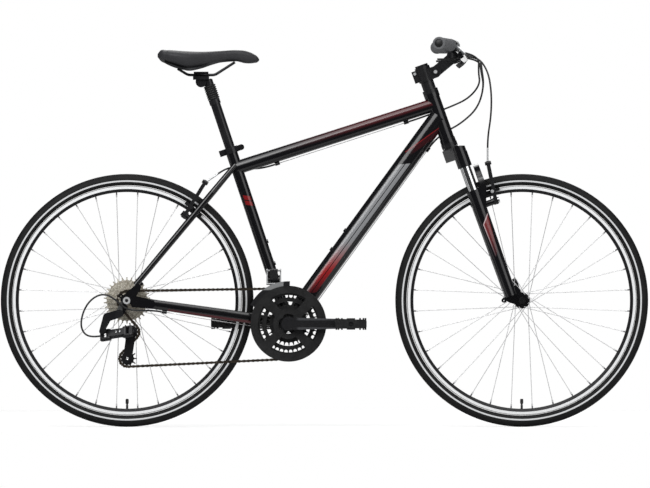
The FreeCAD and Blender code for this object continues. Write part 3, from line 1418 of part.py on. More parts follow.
# Cranks, chainrings and pedals
def make_cranks(spots):
    plane = float(size.chain_plane)
    pitch = float(size.ring_pitch)
    phase = seat_phase(spots, bracket_at + LEFT * chain_y)
    thick = float(size.sprocket_thick)
    rings = []
    for number, (teeth, inner) in enumerate(((size.big_ring_teeth, size.big_ring_inner),
                                             (size.middle_ring_teeth, size.middle_ring_inner),
                                             (size.small_ring_teeth, size.small_ring_inner))):
        centre = bracket_at + RIGHT * (plane - number * pitch)
        rings.append(flat_wheel(f"ring_{number}", toothed(teeth, thick, inner, phase), centre))
    guard_at = bracket_at + RIGHT * (plane + float(size.guard_gap))
    hoop = tube("guard_hoop", size.guard_radius, size.guard_inner, size.guard_thick, placed(guard_at, RIGHT))
    arms, posts, spider = [], [], []
    spider_low = plane - pitch + thick / 2
    spider_thick = pitch - thick
    for number in range(4):
        turn = math.radians(45 + 90 * number)
        line = Vector(math.cos(turn), 0, math.sin(turn))
        guard_place = placed(guard_at + RIGHT * (float(size.guard_thick) / 2), RIGHT, line)
        arms.append(plate(f"guard_arm_{number}", [(34, 0, 11), (float(size.guard_inner) + 4, 0, 15)],
                          size.guard_thick, guard_place))
        spider_place = placed(bracket_at + RIGHT * (spider_low + spider_thick / 2), RIGHT, line)
        spider.append(plate(f"spider_arm_{number}", [(8, 0, 15), (float(size.big_ring_inner) + 4, 0, 9)],
                            spider_thick, spider_place))
        inner_post = bracket_at + line * (float(size.small_ring_inner) + 6)
        posts.append(bar_between(f"inner_post_{number}", inner_post + RIGHT * (plane - 2 * pitch + thick / 2),
                                 inner_post + RIGHT * spider_low, 5))
        guard_post = bracket_at + line * 72
        posts.append(bar_between(f"guard_post_{number}", guard_post + RIGHT * (spider_low + spider_thick),
                                 guard_post + RIGHT * (plane + float(size.guard_gap)), 4))
    hub = tube("guard_hub", 42, 27, size.guard_thick, placed(guard_at, RIGHT))
    guard = fuse("chain_guard", hoop, hub, *arms)
    node("chainrings", group("chainring_set", *rings, guard))

    inner, arm_thick = float(size.crank_inner), float(size.crank_thick)
    spindle_half = inner + arm_thick - 3
    length = float(size.crank_length)
    boss = size.crank_boss_radius
    right_boss = cylinder("right_boss", boss, inner + arm_thick - spider_low,
                          placed(bracket_at + RIGHT * spider_low, RIGHT))
    left_boss = cylinder("left_boss", boss - 2, 22 + arm_thick,
                         placed(bracket_at + LEFT * (inner - 22), LEFT))
    arms = {}
    for side, forward in ((RIGHT, 1), (LEFT, -1)):
        place = placed(bracket_at + side * (inner + arm_thick / 2), RIGHT, FORWARD)
        arms[forward] = plate(f"crank_arm_{forward}", [(0, 0, size.crank_root_radius),
                                                       (forward * length, 0,
                                                        size.crank_eye_radius)], arm_thick, place)
    spindle = cylinder("crank_spindle", size.spindle_diameter / 2, 2 * spindle_half,
                       placed(bracket_at + RIGHT * spindle_half, LEFT))
    spindle_space = cylinder("spindle_space", size.spindle_diameter / 2 + size.weld_gap, 2 * spindle_half,
                             placed(bracket_at + RIGHT * spindle_half, LEFT))
    right = cut("crank_right", fuse("crank_right_whole", arms[1], right_boss, *spider, *posts), spindle_space)
    left = cut("crank_left", fuse("crank_left_whole", arms[-1], left_boss), spindle_space)
    axles = []
    for side, forward in ((RIGHT, 1), (LEFT, -1)):
        eye = bracket_at + FORWARD * (forward * length) + side * (inner + arm_thick)
        axles.append(cylinder(f"pedal_axle_{forward}", size.pedal_axle_diameter / 2,
                              float(size.pedal_gap) + float(size.pedal_length) - 4, placed(eye, side)))
    node("cranks", group("crank_pieces", right, left, spindle, *axles))
    for name, side, forward in (("pedal_right", RIGHT, 1), ("pedal_left", LEFT, -1)):
        make_pedal(name,
                   bracket_at + FORWARD * (forward * length)
                   + side * (inner + arm_thick + float(size.pedal_gap)), side)


def make_pedal(name, start, side):
    """A platform pedal: a barrel on the axle, end walls with grip teeth, and toothed rails front and back."""
    length, deep, high = float(size.pedal_length), float(size.pedal_depth), float(size.pedal_height)
    corner, wall, rail_thick = float(size.pedal_corner), float(size.pedal_wall), float(size.pedal_rail)
    middle = start + side * (length / 2)
    barrel = cylinder(f"{name}_barrel", size.pedal_axle_diameter / 2 + 5, size.pedal_length,
                      placed(start, side))
    pieces = [barrel]
    ahead, above = deep / 2 - corner, high / 2 - float(size.pedal_tooth_rise) - corner
    outline = [(-ahead, -above, corner), (ahead, -above, corner), (ahead, above, corner),
               (-ahead, above, corner)]
    for number, along in enumerate((wall / 2, length - wall / 2)):
        at = start + side * along
        pieces.append(plate(f"{name}_wall_{number}", outline, wall, placed(at, RIGHT, FORWARD)))
        pieces.append(block(f"{name}_boss_{number}", size.pedal_boss_width, wall, high - 1, placed(at)))
        for tooth, share in enumerate((-0.40, -0.29, 0.29, 0.40)):
            pieces.append(block(f"{name}_grip_{number}_{tooth}", size.pedal_tooth_width, wall, high,
                                placed(at + FORWARD * (share * deep))))
    for number, sign in enumerate((-1, 1)):
        rail = middle + FORWARD * (sign * (deep - rail_thick) / 2)
        pieces.append(block(f"{name}_rail_{number}", rail_thick, length, high * 0.55, placed(rail)))
        for tooth in range(6):
            along = side * (length * ((tooth + 0.5) / 6 - 0.5))
            pieces.append(block(f"{name}_tooth_{number}_{tooth}", size.pedal_tooth_width, 7, high,
                                placed(rail + along)))
    bore = cylinder(f"{name}_bore", size.pedal_axle_diameter / 2 + size.pedal_play, size.pedal_length,
                    placed(start, side))
    node(name, cut(f"{name}_cut", fuse(f"{name}_whole", *pieces), bore))


# Rear derailleur
link_slant = math.radians(float(size.link_slant))
link_axis = Vector(0, math.sin(link_slant), math.cos(link_slant))
link_inward = Vector(0, math.cos(link_slant), -math.sin(link_slant))
link_rest = math.radians(float(size.link_rest))
link_line = FORWARD * math.cos(link_rest) - link_inward * math.sin(link_rest)


def make_rear_derailleur(wheels, spots):
    tension, guide = wheels[2][0], wheels[3][0]
    carrier_pin = guide + RIGHT * float(size.carrier_out) - FORWARD * 17.5
    knuckle_pin = carrier_pin - link_line * float(size.link_length)
    radius, high, lug = float(size.link_radius), float(size.link_height), float(size.link_lug)
    play = float(size.link_play)
    pin = float(size.pin_diameter) / 2
    hole = pin + float(size.pin_play)
    side_line = link_axis.cross(link_line)
    link_place = placed(knuckle_pin, link_axis, link_line)
    node("derailleur_link", plate("derailleur_link_plate", [(0, 0, radius), (size.link_length, 0, radius)],
                                  high,
                                  link_place, [(0, 0, hole), (size.link_length, 0, hole)]))

    def fork(label, at, away):
        """Two lugs on a pin, joined by a back wall, which hold one end of the link."""
        pieces = [bar_between(f"{label}_pin", at - link_axis * (high / 2 + play + lug),
                              at + link_axis * (high / 2 + play + lug), pin)]
        for number, sign in enumerate((-1, 1)):
            level = at + link_axis * (sign * (high / 2 + play + lug / 2))
            pieces.append(plate(f"{label}_lug_{number}", [(0, 0, radius), (radius + 10, 0, radius)], lug,
                                placed(level, link_axis, away)))
        wall = at + away * (radius + 10 + 1.5)
        pieces.append(block(f"{label}_wall", 9, 2 * radius - 1, high + 2 * play + 2 * lug - 1,
                            placed(wall, link_axis, away)))
        return pieces, wall

    back, knuckle_wall = fork("knuckle", knuckle_pin, -link_line)
    bolt = rear_axle_at + Vector(-float(size.hanger_back), 0, -float(size.hanger_down))
    face = -(float(size.rear_spacing) / 2 + float(size.dropout_thick))
    head_start = bolt + LEFT * face
    head = cylinder("knuckle_head", size.hanger_radius, 12, placed(head_start + RIGHT * 0.2, RIGHT))
    shank = cylinder("knuckle_shank", size.pin_diameter, float(size.dropout_thick),
                     placed(head_start + RIGHT * 0.2, LEFT))
    elbow = (-float(size.elbow_back), -float(size.elbow_down), size.elbow_radius)
    foot = (-float(size.elbow_foot_back), -float(size.elbow_foot_down), size.elbow_foot_radius)
    arm_at = rear_axle_at + LEFT * (face - float(size.weld_gap) - float(size.elbow_thick) / 2)
    arm_place = placed(arm_at, RIGHT, FORWARD)
    hip = (-float(size.hanger_back), -float(size.hanger_down), size.hanger_radius)
    upper = plate("knuckle_upper_arm", [hip, elbow], size.elbow_thick, arm_place)
    lower = plate("knuckle_lower_arm", [elbow, foot], size.elbow_thick, arm_place)
    node("derailleur_knuckle", fuse("knuckle_whole", *back, head, shank, upper, lower))

    front, wall = fork("carrier", carrier_pin, link_line)
    outer_face = chain_y - float(size.cage_gap) / 2 - float(size.cage_plate)
    pivot_start = Vector(guide.x, outer_face - play, guide.z)
    drum = cylinder("carrier_drum", 11, 12, placed(pivot_start, RIGHT))
    neck = bar_between("carrier_neck", pivot_start + RIGHT * 8, wall, 8)
    node("derailleur_carrier", fuse("carrier_whole", *front, drum, neck))

    arm = (tension - guide).normalize()
    length = float(size.cage_length)
    half_gap = float(size.cage_gap) / 2
    cage = []
    for number, aside in enumerate((half_gap + float(size.cage_plate) / 2,
                                    -half_gap - float(size.cage_plate) / 2)):
        place = placed(guide + LEFT * aside, RIGHT, arm)
        cage.append(plate(f"cage_plate_{number}",
                          [(0, 0, size.cage_radius),
                           (length, 0, size.cage_radius - 1)], size.cage_plate, place))
    for number, centre in enumerate((guide, tension)):
        cage.append(bar_between(f"cage_screw_{number}", centre + RIGHT * half_gap, centre + LEFT * half_gap,
                                pin))
    node("derailleur_cage", fuse("derailleur_cage_whole", *cage))
    for name, centre in (("guide_pulley", guide), ("tension_pulley", tension)):
        solid = toothed(size.pulley_teeth, size.pulley_thick, 0, seat_phase(spots, centre))
        hub_length = float(size.cage_gap) - 2 * play
        hub = Part.makeCylinder(7, hub_length, Vector(0, 0, -hub_length / 2))
        bore = Part.makeCylinder(hole, hub_length, Vector(0, 0, -hub_length / 2))
        node(name, flat_wheel(f"{name}_wheel", solid.fuse(hub).cut(bore).Solids[0], centre))
    return SimpleNamespace(knuckle_pin=knuckle_pin, carrier_pin=carrier_pin, guide=guide, tension=tension,
                           wall=knuckle_wall)


# Front derailleur
swing_rest = math.radians(float(size.swing_rest))
swing_line = UP * math.cos(swing_rest) + RIGHT * math.sin(swing_rest)


def make_front_derailleur():
    at = on_seat(size.clamp_on_seat)
    low = placed(at - seat_up * (float(size.clamp_height) / 2), seat_up, seat_front)
    ring = tube("changer_ring", size.seat_tube_diameter / 2 + size.clamp_wall,
                size.seat_tube_diameter / 2 + size.weld_gap,
                size.clamp_height, low)
    pivot = at + RIGHT * float(size.swing_out)
    width, radius = float(size.swing_width), 5
    pin = float(size.pin_diameter) / 2
    play = float(size.link_play)
    lug = float(size.link_lug)
    pieces = [ring, bar_between("changer_pin", pivot - FORWARD * (width / 2 + play + lug),
                                pivot + FORWARD * (width / 2 + play + lug), pin)]
    foot = at + RIGHT * (float(size.seat_tube_diameter) / 2 + 1)
    for number, sign in enumerate((-1, 1)):
        aside = FORWARD * (sign * (width / 2 + play + lug / 2))
        reach = (pivot - foot).Length
        pieces.append(plate(f"changer_lug_{number}", [(0, 0, radius), (reach, 0, radius + 1)], lug,
                            placed(pivot + aside, FORWARD, LEFT)))
    pieces.append(block("changer_foot", width + 2 * play + 2 * lug, 7, 12,
                        placed(at + RIGHT * (float(size.seat_tube_diameter) / 2 + 5.5))))
    seat_tool = cylinder("changer_seat_tool", size.seat_tube_diameter / 2 + size.weld_gap,
                         size.seat_tube_length,
                         placed(bracket_at, seat_up))
    node("front_derailleur_clamp", cut("changer_cut", fuse("changer_whole", *pieces), seat_tool))

    length = float(size.swing_length)
    hole = pin + float(size.pin_play)
    node("front_derailleur_link", plate("changer_link", [(0, 0, radius), (length, 0, radius)], width,
                                        placed(pivot, FORWARD, swing_line),
                                        [(0, 0, hole), (length, 0, hole)]))

    top = pivot + swing_line * length
    inside = float(size.cage_inside)
    low_radius, high_radius = float(size.cage_inner_radius), float(size.cage_outer_radius)
    sweep = []
    for share in (0, 0.5, 1):
        sweep.append(math.radians(88 + share * 66))
    inner_arc = [circle_point(ORIGIN, low_radius, turn) for turn in sweep]
    outer_arc = [circle_point(ORIGIN, high_radius, turn) for turn in sweep]
    face = Part.Face(Part.Wire([Part.Arc(*inner_arc).toShape(),
                                Part.LineSegment(inner_arc[2], outer_arc[2]).toShape(),
                                Part.Arc(*outer_arc[::-1]).toShape(),
                                Part.LineSegment(outer_arc[0], inner_arc[0]).toShape()]))
    cage = []
    for number, start in enumerate((chain_y - inside / 2 + 0.3, chain_y + inside / 2 + 0.3)):
        wall = face.extrude(LEFT * 1.2)
        wall.translate(bracket_at + LEFT * (start - 0.6))
        cage.append(shaped(f"changer_plate_{number}", wall.Solids[0]))
    bridge_low = chain_y - inside / 2 + 0.3
    for number, degrees in enumerate((96, 151)):
        spot = circle_point(bracket_at, high_radius - 3, math.radians(degrees))
        cage.append(bar_between(f"changer_bridge_{number}", spot + LEFT * bridge_low,
                                spot + LEFT * (bridge_low + inside), 2.5))
    pin_half = width / 2 + play + 2 * lug + 1
    pieces = [bar_between("changer_top_pin", top - FORWARD * pin_half, top + FORWARD * pin_half, pin)]
    inner_wall = chain_y + inside / 2 + 0.3
    hang = circle_point(bracket_at, high_radius - 4, math.radians(108)) + LEFT * inner_wall
    beam_half = width / 2 + play + 2 * lug + 1
    for number, sign in enumerate((-1, 1)):
        end = top + FORWARD * (sign * (beam_half - lug / 2))
        pieces.append(bar_between(f"changer_hanger_{number}", end, Vector(end.x, hang.y, hang.z + 2), 1.9))
        pieces.append(cylinder(f"changer_eye_{number}", 5, lug, placed(end - FORWARD * (lug / 2), FORWARD)))
    pieces.append(bar_between("changer_beam", Vector(top.x - beam_half, hang.y, hang.z + 2),
                              Vector(top.x + beam_half, hang.y, hang.z + 2), 3))
    drop = bar_between("changer_drop", Vector(hang.x, hang.y, hang.z + 2),
                       Vector(hang.x, hang.y, hang.z - 6), 2.4)
    node("front_derailleur_cage", fuse("changer_cage_whole", *cage, *pieces, drop))
    return pivot, top


# Rim brakes
NOODLE_REACH = 42


def make_brake(prefix, spot, upward, outward, arm_out, noodle_line):
    height, spread = float(size.brake_post_radius), float(size.brake_post_spread)
    thick = float(size.brake_arm_thick)
    middle = float(arm_out) + thick / 2
    rim_radius = float(size.bead_seat_diameter) / 2
    pad_inner = float(size.rim_width) / 2 + float(size.pad_gap)
    pad_height = rim_radius + float(size.rim_flange) - float(size.rim_track) / 2
    lean = math.radians(float(size.arm_lean))
    arm_up = upward * math.cos(lean) + outward * math.sin(lean)
    arm_out_line = outward * math.cos(lean) - upward * math.sin(lean)
    pivot = spot(height, middle, spread)
    flare, length = float(size.brake_arm_flare), float(size.brake_arm_length)
    aside = flare * arm_out_line.cross(arm_up).dot(LEFT)
    arm = plate(f"{prefix}_arm", [(0, 0, size.brake_arm_root), (length, aside, size.brake_arm_tip)],
                thick - 3, placed(pivot, arm_out_line, arm_up))
    barrel = cylinder(f"{prefix}_barrel", size.brake_arm_root, thick,
                      placed(spot(height, arm_out, spread), outward))
    rod_start = spot(pad_height, middle, pad_inner + float(size.pad_thick))
    rod = cylinder(f"{prefix}_rod", 3, spread + 12 - pad_inner - float(size.pad_thick),
                   placed(rod_start, LEFT))
    washer = cylinder(f"{prefix}_washer", 7, 6, placed(spot(pad_height, middle, spread - 13), LEFT))
    nut = cylinder(f"{prefix}_nut", 6, 6, placed(spot(pad_height, middle, spread + 6), LEFT))
    tip = pivot + arm_up * length + LEFT * flare
    anchor = cylinder(f"{prefix}_anchor", 5, thick + 4,
                      placed(tip - arm_out_line * (thick / 2 + 2), arm_out_line))
    bore = cylinder(f"{prefix}_bore", size.brake_post_diameter / 2 + size.pin_play, thick + 40,
                    placed(spot(height, float(arm_out) - 20, spread), outward))
    whole = cut(f"{prefix}_arm_cut", fuse(f"{prefix}_arm_whole", arm, barrel, rod, washer, nut, anchor), bore)
    pad_middle = spot(pad_height, middle - 8, pad_inner + float(size.pad_thick) / 2)
    pad = block(f"{prefix}_pad", size.pad_length, size.pad_thick, size.pad_height,
                placed(pad_middle, upward, outward))
    plain = group(f"{prefix}_arm_pieces", whole, pad)
    node(f"{prefix}_brake_arm_right", mirrored(f"{prefix}_arm_right_pieces", plain))
    noodle_end = tip + LEFT * 20 + noodle_line * NOODLE_REACH
    noodle = swept(f"{prefix}_noodle", [tip, tip + LEFT * 20, noodle_end], size.noodle_diameter)
    node(f"{prefix}_brake_arm_left",
         group(f"{prefix}_arm_left_pieces", fuse(f"{prefix}_arm_piped", whole, noodle), pad))
    return tip, noodle_end, noodle_line


# Stem, handlebar, grips, levers and shifters
stem_rise = math.radians(float(size.stem_arm_rise))
stem_pivot_at = on_fork(size.stem_pivot_height, size.stem_pivot_reach)
stem_line = Vector(math.cos(stem_rise), 0, math.sin(stem_rise))
bar_at = stem_pivot_at + stem_line * float(size.stem_arm_length)
bar_reach = 5


def bar_points(side):
    """The handlebar's half from the middle to its end."""
    rise, knee = float(size.bar_rise), float(size.bar_knee)
    knee_at = bar_at + Vector(bar_reach, side * knee, rise)
    end = Vector(knee_at.x - float(size.bar_sweep), side * float(size.bar_half_width), knee_at.z + 4)
    return [bar_at + LEFT * (side * float(size.bar_shoulder)), knee_at, end]


def control_frame(side, inset):
    """A point on the grip's straight stretch, with its outward, reaching and hinge directions."""
    _, knee_at, end = bar_points(side)
    outward = (end - knee_at).normalize()
    drop = math.radians(float(size.lever_drop))
    reach = Vector(math.cos(drop), 0, -math.sin(drop))
    reach = (reach - outward * reach.dot(outward)).normalize()
    return end - outward * float(inset), outward, reach


def make_cockpit():
    low = placed(on_fork(stem_low), steer_up, steer_front)
    post = cylinder("stem_post", size.stem_radius, size.stem_height, low)
    half = float(size.stem_arm_width) / 2 + float(size.link_play)
    lug_thick = float(size.stem_lug_thick)
    lugs, tools = [], []
    reach = float(size.stem_pivot_reach)
    level = float(size.stem_pivot_height) - stem_low
    for side in (-1, 1):
        middle = on_fork(stem_low, 0, side * (half + lug_thick / 2))
        lugs.append(plate(f"stem_lug_{side}",
                          [(0, level, size.stem_lug_radius), (reach, level, size.stem_lug_radius)],
                          lug_thick, placed(middle, RIGHT, steer_front)))
    space = cylinder("stem_lug_space", float(size.stem_lug_radius) + 1.5, 2 * half,
                     placed(stem_pivot_at + RIGHT * half, LEFT))
    bolt_pin = cylinder("stem_bolt", size.pin_diameter * 0.8, 2 * (half + lug_thick) + 2,
                        placed(stem_pivot_at + RIGHT * (half + lug_thick + 1), LEFT))
    heads = [cylinder(f"stem_bolt_head_{side}", 8, 4,
                      placed(stem_pivot_at + LEFT * (side * (half + lug_thick)), LEFT * side))
             for side in (-1, 1)]
    clamp_ear = block("stem_clamp_ear", 18, 24, size.stem_height * 0.8,
                      placed(on_fork((stem_low + stem_high) / 2, -float(size.stem_radius) - 2), steer_up,
                             steer_front))
    slit = block("stem_slit", 40, 2.5, size.stem_height * 2,
                 placed(on_fork(stem_low, -float(size.stem_radius) - 4), steer_up, steer_front))
    bolts = [cylinder(f"stem_pinch_{number}", 4.5, 30,
                      placed(on_fork(stem_low + float(size.stem_height) * share,
                                     -float(size.stem_radius) - 4, -15), LEFT))
             for number, share in enumerate((0.28, 0.72))]
    bore = cylinder("stem_bore", size.steerer_diameter / 2 + size.weld_gap, size.stem_height, low)
    shell = cut("stem_shell", fuse("stem_shell_whole", post, *lugs, clamp_ear), space, bore, slit)
    stem_whole = fuse("stem_base_whole", shell, bolt_pin, *heads, *bolts)

    race = stepped("crown_race", [(size.cup_diameter / 2 - 1, 0, size.race_height)],
                   placed(on_fork(size.fork_length), steer_up), size.steerer_diameter / 2 + size.weld_gap)
    spacer_low = head_high + float(size.upper_stack)
    spacer = stepped("spacer_stack", [(size.spacer_diameter / 2, 0, size.spacer_height)],
                     placed(on_fork(spacer_low), steer_up), size.steerer_diameter / 2 + size.weld_gap)
    cap = cylinder("top_cap", size.spacer_diameter / 2, size.top_cap_height,
                   placed(on_fork(stem_high), steer_up))
    node("stem_base", group("stem_base_pieces", stem_whole, race, spacer, cap))

    width = size.stem_arm_width
    length = float(size.stem_arm_length)
    arm_place = placed(stem_pivot_at, RIGHT, stem_line)
    arm = plate("stem_extension", [(0, 0, float(size.stem_lug_radius) - 1), (length, 0, 15)], width,
                arm_place)
    clamp_half = float(size.stem_clamp_width) / 2
    clamp = cylinder("bar_clamp", size.stem_clamp_radius, size.stem_clamp_width,
                     placed(bar_at + RIGHT * clamp_half, LEFT))
    clamp_bore = cylinder("bar_clamp_bore", size.bar_middle_diameter / 2 + size.weld_gap,
                          size.stem_clamp_width,
                          placed(bar_at + RIGHT * clamp_half, LEFT))
    pivot_bore = cylinder("stem_pivot_bore", size.pin_diameter * 0.8 + size.pin_play, 80,
                          placed(stem_pivot_at + RIGHT * 40, LEFT))
    split = block("clamp_split", 0.8, 80, 60, placed(bar_at + stem_line * 3 , stem_line.cross(LEFT),
                                                     stem_line))
    stem_arm = cut("stem_arm_cut", fuse("stem_arm_whole", arm, clamp), clamp_bore, pivot_bore, split)
    node("stem_arm", stem_arm)

    right_half = bar_points(-1)[::-1]
    left_half = bar_points(1)
    outside = swept("handlebar_outside", right_half + left_half, size.bar_diameter, 70)
    sleeve = cylinder("handlebar_sleeve", size.bar_middle_diameter / 2, size.stem_clamp_width + 14,
                      placed(bar_at + RIGHT * (clamp_half + 7), LEFT))
    inside = swept("handlebar_inside", right_half + left_half, size.bar_diameter - size.bar_wall * 2, 70)
    node("handlebar", cut("handlebar_cut", fuse("handlebar_whole", outside, sleeve), inside))

    grips, brackets = [], []
    pivots = {}
    for name, side in (("right", -1), ("left", 1)):
        end, outward, _ = control_frame(side, 0)
        bar_radius = size.bar_diameter / 2 + size.weld_gap
        grip_steps = [(size.grip_radius, -size.grip_length, -10), (size.grip_end_radius, -10, 4)]
        grip_tool = cylinder(f"grip_tool_{name}", bar_radius, size.grip_length,
                             placed(end - outward * float(size.grip_length), outward))
        grips.append(cut(f"grip_{name}", stepped(f"grip_{name}_body", grip_steps, placed(end, outward)),
                         grip_tool))
        bracket, pivot = make_bracket(name, side)
        brackets.append(bracket)
        pivots[name] = pivot
    node("grips", group("grip_pair", *grips))
    node("control_brackets", group("bracket_pair", *brackets))
    return pivots


def make_bracket(name, side):
    """A brake lever bracket and a shifter pod on the bar, with the two levers that they carry."""
    at, outward, reach = control_frame(side, size.perch_inset)
    hinge = outward.cross(reach).normalize()
    far = float(size.perch_reach)
    ear, thick, play = float(size.perch_ear), float(size.lever_thick), float(size.link_play)
    width = float(size.perch_width)
    pin = float(size.pin_diameter) / 2
    bar_radius = size.bar_diameter / 2 + size.weld_gap
    ring = cylinder(f"perch_ring_{name}", 16, width, placed(at - outward * (width / 2), outward))
    pieces = [ring, bar_between(f"perch_pin_{name}", at + reach * far - hinge * (thick / 2 + play + ear),
                                at + reach * far + hinge * (thick / 2 + play + ear), pin)]
    for number, sign in enumerate((-1, 1)):
        level = at + hinge * (sign * (thick / 2 + play + ear / 2))
        pieces.append(plate(f"perch_ear_{name}_{number}", [(0, 0, 11), (far, 0, 8)], ear,
                            placed(level, hinge, reach)))
    pod_at, _, _ = control_frame(side, size.pod_inset)
    pod_low = pod_at - UP * float(size.pod_drop)
    pod_half = float(size.pod_height) / 2
    pod = cylinder(f"pod_{name}", size.pod_radius, size.pod_height, placed(pod_low - UP * pod_half))
    pod_ring = cylinder(f"pod_ring_{name}", 15, 11, placed(pod_at - outward * 2, outward))
    pod_neck = block(f"pod_neck_{name}", 14, 12, float(size.pod_drop),
                     placed(pod_at + outward * 3 - UP * (float(size.pod_drop) / 2)))
    thumb_pin = bar_between(f"thumb_pin_{name}", pod_low - UP * pod_half,
                            pod_low - UP * (pod_half + play + float(size.thumb_thick) + 1), pin)
    tool = cylinder(f"perch_tool_{name}", bar_radius, 140, placed(at - outward * 90, outward))
    perch = cut(f"perch_cut_{name}", fuse(f"perch_whole_{name}", *pieces), tool)
    pod_whole = cut(f"pod_cut_{name}", fuse(f"pod_whole_{name}", pod, pod_ring, pod_neck, thumb_pin), tool)

    lever_place = placed(at, hinge, outward)
    length, grip_reach = float(size.lever_length), float(size.lever_reach)
    flip = 1 if (hinge.cross(outward)).dot(reach) > 0 else -1
    root, bend, tip = (0, flip * far, 8), (length * 0.3, flip * (far + 26), 7), (length, flip * grip_reach, 7)
    order = 1 if flip > 0 else -1
    near = plate(f"lever_root_{name}", [root, bend][::order], thick, lever_place)
    blade = plate(f"lever_blade_{name}", [bend, tip][::order], thick, lever_place)
    hole = cylinder(f"lever_hole_{name}", pin + float(size.pin_play), 30,
                    placed(at + reach * far - hinge * 15, hinge))
    node(f"brake_lever_{name}", cut(f"lever_cut_{name}", fuse(f"lever_whole_{name}", near, blade), hole))

    thumb_middle = pod_low - UP * (pod_half + play + float(size.thumb_thick) / 2)
    back = (-FORWARD * 0.9 + outward * 0.45).normalize()
    thumb = plate(f"thumb_{name}", [(0, 0, 8), (float(size.thumb_length), 0, 9)], size.thumb_thick,
                  placed(thumb_middle, UP, back), [(0, 0, pin + float(size.pin_play))])
    node(f"shift_lever_{name}", thumb)
    pivot = SimpleNamespace(lever=at + reach * far, hinge=hinge, thumb=thumb_middle, at=at, outward=outward,
                            reach=reach, pod=pod_low)
    return group(f"bracket_{name}", perch, pod_whole), pivot


# Cables: routes are lists of points from the levers to the brakes and gears
def make_cables(tubes, pivots, brakes, gears):
    housing, wire = size.housing_diameter, size.wire_diameter
    right, left = pivots["right"], pivots["left"]
    under_top = tubes.top_under * (float(size.top_tube_diameter) / 2 + float(size.stop_diameter) / 2)
    stop_length = float(size.stop_length)
    front_stop = (tubes.top_start + tubes.top_line * (tubes.top_length * TOP_STOP_SHARES[1] + stop_length)
                  + under_top)
    rear_stop = tubes.top_start + tubes.top_line * (tubes.top_length * TOP_STOP_SHARES[0]) + under_top
    down_stop = tubes.stop_at + tubes.down_line * stop_length

    # Four loops from the handlebar, which bend when the bar turns
    front_tip, front_end, front_line = brakes["front"]
    start = left.at + left.reach * 26 - left.outward * 14
    front_points = [start, start - left.outward * 55 + FORWARD * 34 - UP * 4, Vector(452, 62, 985),
                    Vector(462, 48, 925),
                    Vector(461, 52, 860), front_end + front_line * 30, front_end + front_line * 0.5]
    loops = [swept("front_brake_housing", front_points, housing)]
    start = right.at + right.reach * 26 - right.outward * 14
    rear_points = [start, start - right.outward * 62 + FORWARD * 36 - UP * 6, Vector(424, -60, 978),
                   Vector(430, -12, 945),
                   Vector(398, 32, 906), Vector(344, 45, 882), Vector(300, 32, 866),
                   front_stop + tubes.top_line * 28, front_stop + tubes.top_line * 0.4]
    loops.append(swept("rear_brake_housing", rear_points, housing))
    for name, side, pivot in (("rear", 1, right), ("front", -1, left)):
        hand = -1 if name == "rear" else 1
        start = pivot.pod + FORWARD * 14 - pivot.outward * 12
        end = down_stop + LEFT * (side * DOWN_STOP_SPREAD)
        lane = 6 * side
        points = [start, start + FORWARD * 46 - pivot.outward * 36 - UP * 4,
                  Vector(433, hand * 52, 985 + lane * 0.8),
                  Vector(441, hand * 14 + 14, 940), Vector(424, 30 + lane, 880), Vector(378, 42 + lane, 838),
                  Vector(335, 34 + lane, 815), end + tubes.down_line * 24, end + tubes.down_line * 0.4]
        loops.append(swept(f"{name}_gear_housing", points, housing))
    anchor_gap = Vector(0, 7.2, 0)
    loops.append(bar_between("front_cross_wire", front_tip - anchor_gap,
                             Vector(front_tip.x, anchor_gap.y - front_tip.y, front_tip.z),
                             wire / 2))
    node("handlebar_cables", group("handlebar_cable_set", *loops))

    # Wires and housings that keep their place on the frame
    wires = [bar_between("top_tube_wire", rear_stop + tubes.top_line * stop_length,
                         front_stop - tubes.top_line * stop_length,
                         wire / 2)]
    rear_tip, rear_end, rear_line = brakes["rear"]
    wires.append(bar_between("rear_cross_wire", rear_tip - anchor_gap,
                             Vector(rear_tip.x, anchor_gap.y - rear_tip.y, rear_tip.z),
                             wire / 2))
    tail_points = [rear_stop - tubes.top_line * 0.4, rear_stop - tubes.top_line * 30, Vector(-200, 22, 712),
                   Vector(-238, 44, 716), rear_end + rear_line * 30, rear_end + rear_line * 0.5]
    wires.append(swept("rear_brake_tail", tail_points, housing))
    foot = bracket_at + tubes.down_line * 44 - tubes.down_over * (float(size.down_tube_depth) / 2 + 3)
    foot = foot + LEFT * DOWN_STOP_LEFT
    chain_front = chain_stop_at + chainstay_line * stop_length
    for side, tail in ((-1, [Vector(-86, -14, 254), chain_front]),
                       (1, [Vector(-86, 20.5, 256), Vector(-112, 20.5, 260)])):
        aside = LEFT * (side * DOWN_STOP_SPREAD)
        wires.append(swept(f"down_tube_wire_{side}", [tubes.stop_at + aside, foot + aside, *tail], wire))
    end = gears.wall - link_line * 5
    loop_points = [chain_stop_at - chainstay_line * 0.4, chain_stop_at - chainstay_line * 26,
                   Vector(-507, -75, 321), Vector(-548, -80.5, 325), Vector(-578, -80.5, 355),
                   Vector(-610, -80.5, 369), Vector(-644, -79, 352), Vector(-666, -76, 316),
                   Vector(-672, -68, 272), end - link_line * 34, end]
    wires.append(swept("rear_gear_loop", loop_points, housing))
    node("frame_cables", group("frame_cable_set", *wires))


